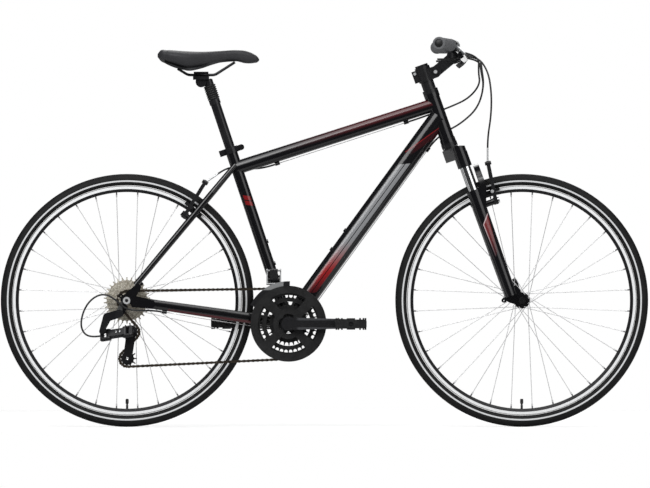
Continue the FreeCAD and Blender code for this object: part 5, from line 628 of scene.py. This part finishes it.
VALVE = [(0, 0), (0.0032, 0), (0.0032, 0.024), (0.0026, 0.0245), (0.0026, 0.027), (0.0042, 0.0275), (0.0044, 0.030),
         (0.0044, 0.038), (0.0036, 0.0405), (0, 0.041)]
VALVE_DROP = 0.3125
for wheel, centre in WHEELS:
    tyre = grid_piece(f"{wheel}_tyre_tread", tyre_points(centre), f"{wheel}_tyre", closed_along=True)
    finish_piece(tyre, f"{wheel}_wheel", "tyre", f"{wheel}_tyre")
    foot = (centre[0], 0.0, centre[2] - VALVE_DROP)
    valve = grid_piece(f"{wheel}_valve", turned_points(VALVE, foot, (0, 0, 1), 20), "black_rubber")
    finish_piece(valve, f"{wheel}_wheel", "black_rubber")

# %% [markdown]
# ## Saddle
# The saddle is a padded shell: wide and dished at the back, narrow at the nose, with drawn-in sides. Its outline from
# the side is known at a dozen places; a smooth line through them carries a rounded section from tail to nose.

# %% Saddle cushion
SADDLE_X = np.array([-0.46, -0.454, -0.435, -0.41, -0.38, -0.34, -0.31, -0.28, -0.245, -0.215, -0.195, -0.184, -0.18])
SADDLE_TOP = np.array([1.029, 1.037, 1.0395, 1.0385, 1.0365, 1.0355, 1.0365, 1.0385, 1.04, 1.037, 1.029, 1.021, 1.015])
SADDLE_LOW = np.array([1.02, 1.012, 1.002, 0.993, 0.983, 0.989, 0.999, 1.007, 1.009, 1.003, 1.004, 1.007, 1.011])
SADDLE_HALF = np.array([0.033, 0.056, 0.076, 0.083, 0.079, 0.056, 0.039, 0.029, 0.024, 0.0215, 0.0175, 0.011, 0.005])
SIDE_POWER, CROWN_POWER, SKIRT_POWER = 0.72, 0.80, 0.45
WIDEST, TUCK, TUCK_POWER, NOSE_POWER = 0.62, 0.10, 1.5, 0.9
DISH_WIDE, DISH_AT, DISH_LONG, DISH_DEEP = 0.010, -0.335, 0.075, 0.0022


def smooth_line(x, at, values):
    """A cubic through (at, values) whose slope at each place is that of the chord between its neighbours."""
    slope = np.gradient(values, at)
    place = np.clip(np.searchsorted(at, x) - 1, 0, len(at) - 2)
    width = at[place + 1] - at[place]
    t = (x - at[place]) / width
    return ((1 + 2 * t) * (1 - t) ** 2 * values[place] + t * (1 - t) ** 2 * width * slope[place]
            + t * t * (3 - 2 * t) * values[place + 1] + t * t * (t - 1) * width * slope[place + 1])


def saddle_points(along=150, around=120):
    """Sections across the saddle: a flat bottom edge, sides that lean in, and a crown with a shallow groove."""
    share = np.linspace(0, 1, along)
    x = SADDLE_X[0] + (SADDLE_X[-1] - SADDLE_X[0]) * (0.5 - 0.5 * np.cos(math.pi * share)) ** NOSE_POWER
    x = np.clip(x, SADDLE_X[0], SADDLE_X[-1])
    top, low, half = (smooth_line(x, SADDLE_X, line)[:, None] for line in (SADDLE_TOP, SADDLE_LOW, SADDLE_HALF))
    turn = np.linspace(0, 2 * math.pi, around, endpoint=False)[None]
    across, up = np.cos(turn), np.sin(turn)
    wide = np.sign(across) * np.abs(across) ** SIDE_POWER
    rise = np.where(up > 0, np.abs(up) ** CROWN_POWER, -np.abs(up) ** SKIRT_POWER)
    level = low + WIDEST * (top - low)
    pull = 1 - TUCK * np.clip(-rise, 0, 1) ** TUCK_POWER
    y = half * wide * pull
    z = level + np.where(rise > 0, (top - level) * rise, (level - low) * rise)
    dish = np.exp(-(y / DISH_WIDE) ** 2) * np.clip(up, 0, 1) * np.exp(-((x[:, None] - DISH_AT) / DISH_LONG) ** 2)
    z = z - DISH_DEEP * dish
    grid = np.stack([np.broadcast_to(x[:, None], y.shape), y, z], -1)
    ends = [np.repeat(grid[[i]].mean(1, keepdims=True), around, 1) for i in (0, -1)]
    return np.concatenate([ends[0], grid, ends[1]])


SKIN_DARK, SKIN_WORN, SKIN_CELLS = (0.030, 0.030, 0.033, 1), (0.040, 0.040, 0.043, 1), 620.0
skin = Finish("saddle_skin", Specular_IOR_Level=0.3)
cells = Wire.add(skin.tree, "ShaderNodeTexVoronoi", Vector=skin.place, Scale=SKIN_CELLS)
worn = skin.noise(18.0, 3.0).step(0.45, 0.8)
skin.set("Base_Color", worn.mix(SKIN_DARK, SKIN_WORN))
skin.set("Roughness", 0.50 + cells * 0.14 - worn * 0.05)
skin.bump(cells, 0.25, 0.0004)
saddle = grid_piece("saddle_pad", saddle_points(), "saddle_skin")
finish_piece(saddle, "saddle", "saddle_skin", "saddle_cushion")

# %% [markdown]
# ## Rubber boot and grips
# The sprung seatpost wears a bellows of seven soft ribs. A grip is a sleeve with fine rings and a thicker end.
# Both are profiles spun about a line.

# %% Boot
BOOT_LOW, BOOT_HEIGHT, BOOT_BORE, RIBS = 0.6525, 0.0405, 0.0122, 7
RIB_FOOT, RIB_SWELL, RIB_POWER, RIB_ROWS = 0.0141, 0.0029, 0.8, 113
rib_height = np.linspace(0, BOOT_HEIGHT, RIB_ROWS)
rib_phase = rib_height / BOOT_HEIGHT * RIBS
rib_radius = RIB_FOOT + RIB_SWELL * np.abs(np.sin(math.pi * rib_phase)) ** RIB_POWER
boot_profile = np.concatenate([[(BOOT_BORE, 0.0)], np.stack([rib_radius, rib_height], -1),
                               [(BOOT_BORE, BOOT_HEIGHT), (BOOT_BORE, 0.0)]])
boot_foot = np.array(BRACKET) + BOOT_LOW * np.array(SEAT_UP)
boot = grid_piece("ribbed_boot", turned_points(boot_profile, boot_foot, SEAT_UP, 64), "black_rubber")
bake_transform(boot)
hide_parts("seatpost_boot")

# %% Grips
BAR_END = np.array([0.31317, 0.315, 1.05274])
BAR_OUT = np.array([-0.25598, 0.96646, 0.02090])
GRIP_LENGTH, GRIP_BORE, GRIP_RADIUS, GRIP_SWELL = 0.126, 0.0112, 0.0159, 0.0004
RING_DEPTH, RING_PITCH, RING_FLAT, RING_ROWS = 0.0006, 0.0042, 1.6, 240
OTHER_SIDE = np.array([1.0, -1.0, 1.0])


def grip_profile():
    """Rows (radius, height) from the inner end: a collar, then fine rings, then the thick end."""
    height = np.linspace(-GRIP_LENGTH + 0.006, -0.012, RING_ROWS)
    rings = GRIP_RADIUS + RING_DEPTH * np.clip(np.sin(height * 2 * math.pi / RING_PITCH) * RING_FLAT, -1, 1)
    swell = GRIP_SWELL * np.sin(math.pi * (height + GRIP_LENGTH) / GRIP_LENGTH)
    start = [(GRIP_BORE, -GRIP_LENGTH), (0.0166, -GRIP_LENGTH + 0.0006), (0.0172, -GRIP_LENGTH + 0.002),
             (0.0170, -GRIP_LENGTH + 0.005)]
    end = [(0.0168, -0.0105), (0.0178, -0.009), (0.0180, -0.002), (0.0176, 0.002), (0.0160, 0.0036),
           (GRIP_BORE, 0.004), (GRIP_BORE, -GRIP_LENGTH)]
    return np.concatenate([start, np.stack([rings + swell, height], -1), end])


PLUG = [(0, 0.0015), (0.0108, 0.0015), (0.0108, 0.0046), (0.0095, 0.0058), (0, 0.0062)]
for side, flip, owner in (("left", np.ones(3), True), ("right", OTHER_SIDE, False)):
    end_at, out = BAR_END * flip, BAR_OUT * flip
    grip = grid_piece(f"grip_{side}", turned_points(grip_profile(), end_at, out, 56), "grip_rubber")
    finish_piece(grip, "cockpit", "grip_rubber", *(["grips"] if owner else []))
    plug = grid_piece(f"bar_plug_{side}", turned_points(PLUG, end_at, out, 32), "black_plastic")
    finish_piece(plug, "cockpit", "black_plastic")

# %% [markdown]
# ## Chain
# A chain is one link repeated: pins a half inch apart on the line that wraps the sprocket, the big ring and the two
# pulleys. Narrow inner links and wide outer links take turns. The line is straight runs and arcs, so the place of each
# pin comes from how far along it is. The links round the lower pulley swing with the derailleur's cage.

# %% The chain's line
CHAIN_Y = -0.0572
CHAIN_WHEELS = [((-0.5445, 0.349), 0.0262765, 1), ((-0.0990744, 0.285), 0.0970209, 1),
                ((-0.5425342, 0.1887536), 0.0222339, 1), ((-0.532, 0.262), 0.0222339, -1)]
LINKS = 116
RUN_POINTS = 400


def chain_line():
    """Points of the runs and arcs, how far along each is, and where each run leaves its wheel and enters the next."""
    leave, enter = [], []
    for here, there in zip(CHAIN_WHEELS, CHAIN_WHEELS[1:] + CHAIN_WHEELS[:1]):
        gap = np.subtract(there[0], here[0])
        first, second = here[1] * here[2], there[1] * there[2]
        heading = math.atan2(gap[1], gap[0]) - math.asin((first - second) / np.hypot(*gap))
        aside = np.array([-math.sin(heading), math.cos(heading)])
        leave.append(np.array(here[0]) + aside * first)
        enter.append(np.array(there[0]) + aside * second)
    runs = []
    share = np.linspace(0, 1, RUN_POINTS)
    for number, (centre, radius, sense) in enumerate(CHAIN_WHEELS):
        begin, depart = enter[number - 1] - centre, leave[number] - centre
        start, stop = math.atan2(begin[1], begin[0]), math.atan2(depart[1], depart[0])
        turn = start - sense * ((sense * (start - stop)) % (2 * math.pi)) * share
        runs.append(np.array(centre) + radius * np.stack([np.cos(turn), np.sin(turn)], -1))
        runs.append(leave[number] + share[1:-1, None] * (enter[number] - leave[number]))
    line = np.concatenate(runs + [runs[0][:1]])
    walked = np.concatenate([[0], np.cumsum(np.hypot(*np.diff(line, axis=0).T))])
    return line, walked, leave, enter


chain_path, chain_walk, chain_leaves, chain_enters = chain_line()
step = chain_walk[-1] / LINKS
pin_walk = (np.arange(LINKS) + 0.5) * step
pins = np.stack([np.interp(pin_walk, chain_walk, chain_path[:, k]) for k in (0, 1)], -1)
print("chain", round(chain_walk[-1], 4), "m,", LINKS, "links, pitch", round(step * 1000, 2), "mm")


# %% Links
HALF = step / 2
PLATE_ARC = 1.25
INNER_PLATE, INNER_FACES = (0.0042, 0.0029), (0.0024, 0.0033)
OUTER_PLATE, OUTER_FACES = (0.0041, 0.0027), (0.0034, 0.0043)
ROLLER, PIN = (0.0038, 0.0022, 12), (0.0018, 0.0047, 8)


def plate_shape(radius, waist, near, far, arc=7):
    """A figure of eight: half circles round two pins joined by a drawn-in waist, as two rings at near and far."""
    turn = np.linspace(-PLATE_ARC, PLATE_ARC, arc)
    right = np.stack([HALF + radius * np.cos(turn), radius * np.sin(turn)], -1)
    outline = np.concatenate([right, [(0, waist)], -right, [(0, -waist)]])
    rings = [np.insert(outline, 1, level, axis=1) for level in (near, far)]
    return np.concatenate(rings), len(outline)


def round_shape(at, radius, reach, count):
    """A rod of that many sides across the chain, as two rings at its ends."""
    turn = np.linspace(0, 2 * math.pi, count, endpoint=False)
    ring = np.stack([at + radius * np.cos(turn), np.zeros(count), radius * np.sin(turn)], -1)
    return np.concatenate([ring - (0, reach, 0), ring + (0, reach, 0)]), count


def link_shapes(plate, faces, rod):
    """A link's two plates, and the rods that stand where its pins are."""
    plates = [plate_shape(*plate, *(side * level for level in faces)) for side in (-1, 1)]
    return plates + [round_shape(at, *rod) for at in (-HALF, HALF)]


def prism_faces(count):
    """Faces of a closed prism over two rings of that many points."""
    ring = np.arange(count)
    after = np.roll(ring, -1)
    sides = np.stack([ring, after, after + count, ring + count], -1).tolist()
    return sides + [ring[::-1].tolist(), (ring + count).tolist()]


def link_set(name, starts, shapes, finish):
    """Copies of the shapes, each turned to lie from one pin to the next."""
    begin, end = pins[starts], pins[(starts + 1) % LINKS]
    middle, line = (begin + end) / 2, unit(end - begin)
    vertices, faces = [], []
    offset = 0
    for shape, count in shapes:
        x = middle[:, None, 0] + shape[:, 0] * line[:, None, 0] - shape[:, 2] * line[:, None, 1]
        z = middle[:, None, 1] + shape[:, 0] * line[:, None, 1] + shape[:, 2] * line[:, None, 0]
        y = np.broadcast_to(CHAIN_Y + shape[:, 1], x.shape)
        vertices.append(np.stack([x, y, z], -1).reshape(-1, 3))
        for first in offset + len(shape) * np.arange(len(starts)):
            faces += [[int(first) + corner for corner in face] for face in prism_faces(count)]
        offset += len(starts) * len(shape)
    return mesh_piece(name, np.concatenate(vertices), faces, finish, smooth=False)


def on_run(share):
    """The place at that share of the lower run, from the ring to the bend."""
    return run_start + run_line * share


# Shares of the lower run's length, and how far the chain would follow the derailleur's link there; the points made from
# these are not used.
RUN_SHARES = [(0.0, 0.0), (0.5, 0.075), (0.8, 0.20), (1.0, 0.453)]
RING, TENSION, GUIDE = 1, 2, 3
BEND_LENGTH = 0.06
run_start, run_end, guide_start = chain_leaves[RING], chain_enters[RING], chain_enters[TENSION]
run_line = run_end - unit(run_end - run_start) * BEND_LENGTH - run_start
drop_start, drop_end = chain_leaves[GUIDE], chain_enters[GUIDE]
drop_middle = (drop_start + drop_end) / 2
STRETCHES = [("wrap", None, ("frame",), None, None)]
for number, ((near, light), (far, heavy)) in enumerate(zip(RUN_SHARES, RUN_SHARES[1:])):
    length = (far - near) / (heavy - light)
    zero = near - light * length
    STRETCHES.append((f"lower_{number}", on_run(near), ("frame", "gear_link"), on_run(zero), on_run(zero + length)))
STRETCHES += [("bend", on_run(1.0), ("gear_carrier", "gear_cage"), on_run(1.0), run_end),
              ("pulley", run_end, ("gear_cage",), None, None),
              ("guide", guide_start, ("gear_cage", "gear_carrier"), guide_start, drop_start),
              ("drop_low", drop_start, ("gear_carrier", "gear_link"), drop_start, drop_middle),
              ("drop_high", drop_middle, ("gear_link", "frame"), drop_middle, drop_end)]
link_walk = (np.arange(LINKS) + 1.0) * step
begins = np.array([chain_walk[nearest(chain_path, place)] for _, place, *_ in STRETCHES[1:]])
stretch = np.searchsorted(begins, link_walk % chain_walk[-1])
KINDS = (("inner", (INNER_PLATE, INNER_FACES, ROLLER)), ("outer", (OUTER_PLATE, OUTER_FACES, PIN)))
for first, (kind, sizes) in enumerate(KINDS):
    shapes = link_shapes(*sizes)
    for number, (name, _, bodies, start, end) in enumerate(STRETCHES):
        starts = np.flatnonzero((stretch == number) & (np.arange(LINKS) % 2 == first))
        links = link_set(f"chain_{kind}_{name}", starts, shapes, "chain_steel")
        if len(bodies) == 2:
            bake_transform(links)
        else:
            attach(links, bodies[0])
        if (kind, name) == ("inner", "wrap"):
            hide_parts("chain")
        print(links.name, len(starts), "links")

# %% [markdown]
# ## Cables
# Brake and gear cables run from the levers to the frame in loose loops. Each is a smooth spline led by the same
# listed points as in the model. A loop that crosses two joints is cut in two.

# %% Cable splines
ROUTES = {
    "front_brake": [(0.3735, 0.16174, 1.03165), (0.42158, 0.10859, 1.0265), (0.452, 0.062, 0.985),
                    (0.462, 0.048, 0.925), (0.461, 0.052, 0.86), (0.45152, 0.068, 0.79965),
                    (0.45152, 0.068, 0.77015)],
    "rear_brake": [(0.3735, -0.16174, 1.03165), (0.42537, -0.10182, 1.02436), (0.424, -0.06, 0.978),
                   (0.43, -0.012, 0.945), (0.398, 0.032, 0.906), (0.344, 0.045, 0.882), (0.3, 0.032, 0.866),
                   (0.25928, 0.0, 0.85077), (0.23299, 0.0, 0.84235)],
    "rear_gear": [(0.37427, -0.13717, 1.02189), (0.42949, -0.10238, 1.01714), (0.433, -0.052, 0.9898),
                  (0.441, 0.0, 0.94), (0.424, 0.036, 0.88), (0.378, 0.048, 0.838), (0.335, 0.04, 0.815),
                  (0.30389, 0.0205, 0.79046), (0.28999, 0.0205, 0.77138)],
    "front_gear": [(0.37427, 0.13717, 1.02189), (0.42949, 0.10238, 1.01714), (0.433, 0.052, 0.9802),
                   (0.441, 0.028, 0.94), (0.424, 0.024, 0.88), (0.378, 0.036, 0.838), (0.335, 0.028, 0.815),
                   (0.30389, 0.0095, 0.79046), (0.28999, 0.0095, 0.77138)],
    "rear_brake_tail": [(-0.13678, 0.0, 0.72389), (-0.16497, 0.0, 0.71486), (-0.2, 0.022, 0.712),
                        (-0.238, 0.044, 0.716), (-0.27023, 0.068, 0.71565), (-0.29442, 0.068, 0.69884)],
    "rear_gear_loop": [(-0.44833, -0.059, 0.31801), (-0.47367, -0.059, 0.32165), (-0.507, -0.075, 0.321),
                       (-0.548, -0.0805, 0.325), (-0.578, -0.0805, 0.355), (-0.61, -0.0805, 0.369),
                       (-0.644, -0.079, 0.352), (-0.666, -0.076, 0.316), (-0.672, -0.068, 0.272),
                       (-0.64947, -0.06177, 0.24593), (-0.61663, -0.06881, 0.25121)],
    "gear_wire": [(0.28151, 0.0095, 0.75974), (-0.04972, 0.0095, 0.30348), (-0.086, -0.014, 0.254),
                  (-0.43408, -0.059, 0.31596)],
    "changer_wire": [(0.28151, 0.0205, 0.75974), (-0.04972, 0.0205, 0.30348), (-0.086, 0.0205, 0.256),
                     (-0.112, 0.0205, 0.26)],
    "top_tube_wire": [(-0.12307, 0.0, 0.72829), (0.21928, 0.0, 0.83796)],
}
HOUSING, WIRE = 0.0025, 0.0009
SPLINE_ORDER, SPLINE_STEPS = 3, 12


def spline_line(name):
    """The points of a smooth spline of order three that has the route's points as its control points."""
    route = np.array(ROUTES[name])
    curve = bpy.data.curves.new(name + "_line", "CURVE")
    curve.dimensions = "3D"
    curve.resolution_u = SPLINE_STEPS
    spline = curve.splines.new("NURBS")
    spline.points.add(len(route) - 1)
    spline.points.foreach_set("co", np.insert(route, 3, 1.0, axis=1).ravel())
    spline.order_u = min(SPLINE_ORDER, len(route))
    spline.use_endpoint_u = True
    holder = bpy.data.objects.new(name + "_line", curve)
    scene.collection.objects.link(holder)
    bpy.context.view_layer.update()
    mesh = bpy.data.meshes.new_from_object(holder.evaluated_get(bpy.context.evaluated_depsgraph_get()))
    line = np.zeros(len(mesh.vertices) * 3)
    mesh.vertices.foreach_get("co", line)
    bpy.data.objects.remove(holder)
    bpy.data.curves.remove(curve)
    bpy.data.meshes.remove(mesh)
    return line.reshape(-1, 3)


def cable_piece(name, line, radius, finish, bodies):
    """A tube on the line that rides on the body if one is given; with two bodies it stays where it lies."""
    piece = grid_piece(name, tube_points(line, radius), finish)
    if len(bodies) == 1:
        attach(piece, bodies[0])
    else:
        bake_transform(piece)
    print(name, round(float(np.linalg.norm(np.diff(line, axis=0), axis=1).sum()) * 1000), "mm")
    return piece


# %% Loops from the handlebar
LOOPS = {"front_brake": ((0.461, 0.050, 0.915), "fork_lower"), "rear_brake": ((0.427, -0.012, 0.942), "frame"),
         "rear_gear": ((0.437, 0.0, 0.935), "frame"), "front_gear": ((0.437, 0.028, 0.935), "frame")}
for name, (turning, far_body) in LOOPS.items():
    line = spline_line(name)
    middle = nearest(line, turning)
    upper = cable_piece(f"{name}_cable_upper", line[:middle + 1], HOUSING, "cable_sheath", ("cockpit", "steering"))
    cable_piece(f"{name}_cable_lower", line[middle:], HOUSING, "cable_sheath", ("steering", far_body))
    if name == "front_brake":
        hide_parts("handlebar_cables")

# %% Cables on the frame
tail = spline_line("rear_brake_tail")
rear_tail = cable_piece("rear_brake_tail", tail, HOUSING, "cable_sheath", ("frame", "rear_brake_l"))
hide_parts("frame_cables")
cable_piece("rear_gear_loop", spline_line("rear_gear_loop"), HOUSING, "cable_sheath", ("frame",))
for name in ("gear_wire", "changer_wire", "top_tube_wire"):
    cable_piece(name, spline_line(name), WIRE, "spoke_steel", ("frame",))

# %% Wires between the brake arms
WIRE_HALF, WIRE_POINTS = 0.0408, 9
WIRE_PLACES = (("front", (0.45152, 0.72765), "fork_lower"), ("rear", (-0.32927, 0.67461), "frame"))
for wheel, at, holder in WIRE_PLACES:
    for side, sign in (("left", 1), ("right", -1)):
        half_wire = np.array([(at[0], sign * y, at[1]) for y in np.linspace(0.0, WIRE_HALF, WIRE_POINTS)])
        cable_piece(f"{wheel}_brake_wire_{side}", half_wire, WIRE, "spoke_steel", (holder, f"{wheel}_brake_{side[0]}"))

# %% [markdown]
# ## Bright bolts on the derailleur
# Two screws set the derailleur's stops, and a bolt holds the lower pulley. Each is a turned head with a round recess.

# %% Bolts
LINK_PIN = np.array([-0.5939, -0.0737, 0.2549])
LINK_LINE = unit((0.966, -0.207, 0.155))
LINK_UP = unit((-0.1585, 0.0, 0.9874))
LINK_OUT = np.cross(LINK_LINE, LINK_UP)
SCREWS_ALONG, SCREW_UP, SCREW_OUT, SCREW_RADIUS = (0.024, 0.034), 0.005, 0.007, 0.0027
PULLEY_BOLT, BOLT_RADIUS = (-0.5425, -0.0646, 0.1888), 0.0044


def bolt_head(name, at, axis, radius, body):
    """A disc with a bevelled rim and a recess, standing on a place and facing along the axis."""
    tall = 0.45 * radius
    profile = [(0, -0.2 * tall), (radius, -0.2 * tall), (radius, 0.7 * tall), (0.86 * radius, tall),
               (0.5 * radius, tall), (0.45 * radius, 0.4 * tall), (0, 0.4 * tall)]
    finish_piece(grid_piece(name, turned_points(profile, at, axis, 24), "bright_steel"), body, "bright_steel")


for number, along in enumerate(SCREWS_ALONG):
    place = LINK_PIN + LINK_LINE * along + LINK_UP * SCREW_UP + LINK_OUT * SCREW_OUT
    bolt_head(f"stop_screw_{number}", place, LINK_OUT, SCREW_RADIUS, "gear_link")
bolt_head("pulley_bolt", PULLEY_BOLT, (0, -1, 0), BOLT_RADIUS, "gear_cage")

# %% [markdown]
# ## Studio
# A catalogue picture has white all round and soft light from above. The world is white where the camera looks and
# dimmer as a lamp. In mirrors it is dark but for one soft box high on the chain side, so tubes shine along the top. The
# white floor takes the wheels' soft shadow, and ends close in front, so that tubes don't mirror it from below.

# %% World
WORLD_LIGHT, MIRROR_LOW, MIRROR_HIGH = 0.55, 0.04, 3.4
SOFT_BOX, BOX_EDGE = (0.0, -0.45, 0.89), (0.80, 0.985)
world = bpy.data.worlds.new("studio")
world.use_nodes = True
scene.world = world
tree = world.node_tree
background = tree.nodes["Background"]
path = tree.nodes.new("ShaderNodeLightPath")
direct, mirror, glass = (Wire(path.outputs[f"Is {kind} Ray"]) for kind in ("Camera", "Glossy", "Transmission"))
seen = direct.math("MAXIMUM", mirror).math("MAXIMUM", glass)
towards_box = Wire.add(tree, "ShaderNodeTexCoord", output="Generated").vector("DOT_PRODUCT", SOFT_BOX, "Value")
sky = MIRROR_LOW + towards_box.step(*BOX_EDGE) * (MIRROR_HIGH - MIRROR_LOW)
strength = WORLD_LIGHT + seen * (1 - WORLD_LIGHT) + mirror * (sky - 1)
tree.links.new(strength.socket, background.inputs["Strength"])
background.inputs["Color"].default_value = (1, 1, 1, 1)

# %% Floor
FLOOR_HALF, FLOOR_NEAR = 3.0, -0.8
FLOOR_GREY, FLOOR_GLOW = (0.55, 0.55, 0.55, 1), 0.48
floor_mesh = bpy.data.meshes.new("floor")
floor_mesh.from_pydata([(-FLOOR_HALF, FLOOR_NEAR, 0), (FLOOR_HALF, FLOOR_NEAR, 0), (FLOOR_HALF, FLOOR_HALF, 0),
                        (-FLOOR_HALF, FLOOR_HALF, 0)], [], [(0, 1, 2, 3)])
floor = bpy.data.objects.new("floor", floor_mesh)
scene.collection.objects.link(floor)
white = Finish("floor_white", Base_Color=FLOOR_GREY, Roughness=0.9)
watched = Wire(white.tree.nodes.new("ShaderNodeLightPath").outputs["Is Camera Ray"])
white.set("Emission_Color", watched.mix((0, 0, 0, 1), (1, 1, 1, 1)))
white.set("Emission_Strength", FLOOR_GLOW)
wear(floor, "floor_white")


# %% Lamps
LAMP_AIM = (0, 0, 0.5)


def lamp(name, place, power, width):
    """A square soft box at a place, turned to face the middle of the bike."""
    data = bpy.data.lights.new(name, "AREA")
    data.energy = power
    data.size = width
    holder = bpy.data.objects.new(name, data)
    holder.location = place
    aim = np.subtract(LAMP_AIM, place)
    pitch = math.atan2(math.hypot(aim[0], aim[1]), -aim[2])
    holder.rotation_euler = (pitch, 0, math.atan2(aim[1], aim[0]) - math.pi / 2)
    scene.collection.objects.link(holder)


lamp("key_box", (-1.6, -2.6, 2.6), 70, 2.2)
lamp("fill_box", (2.2, -2.4, 1.6), 30, 2.4)
lamp("back_box", (0.4, 2.6, 2.4), 40, 2.2)
print("studio set")
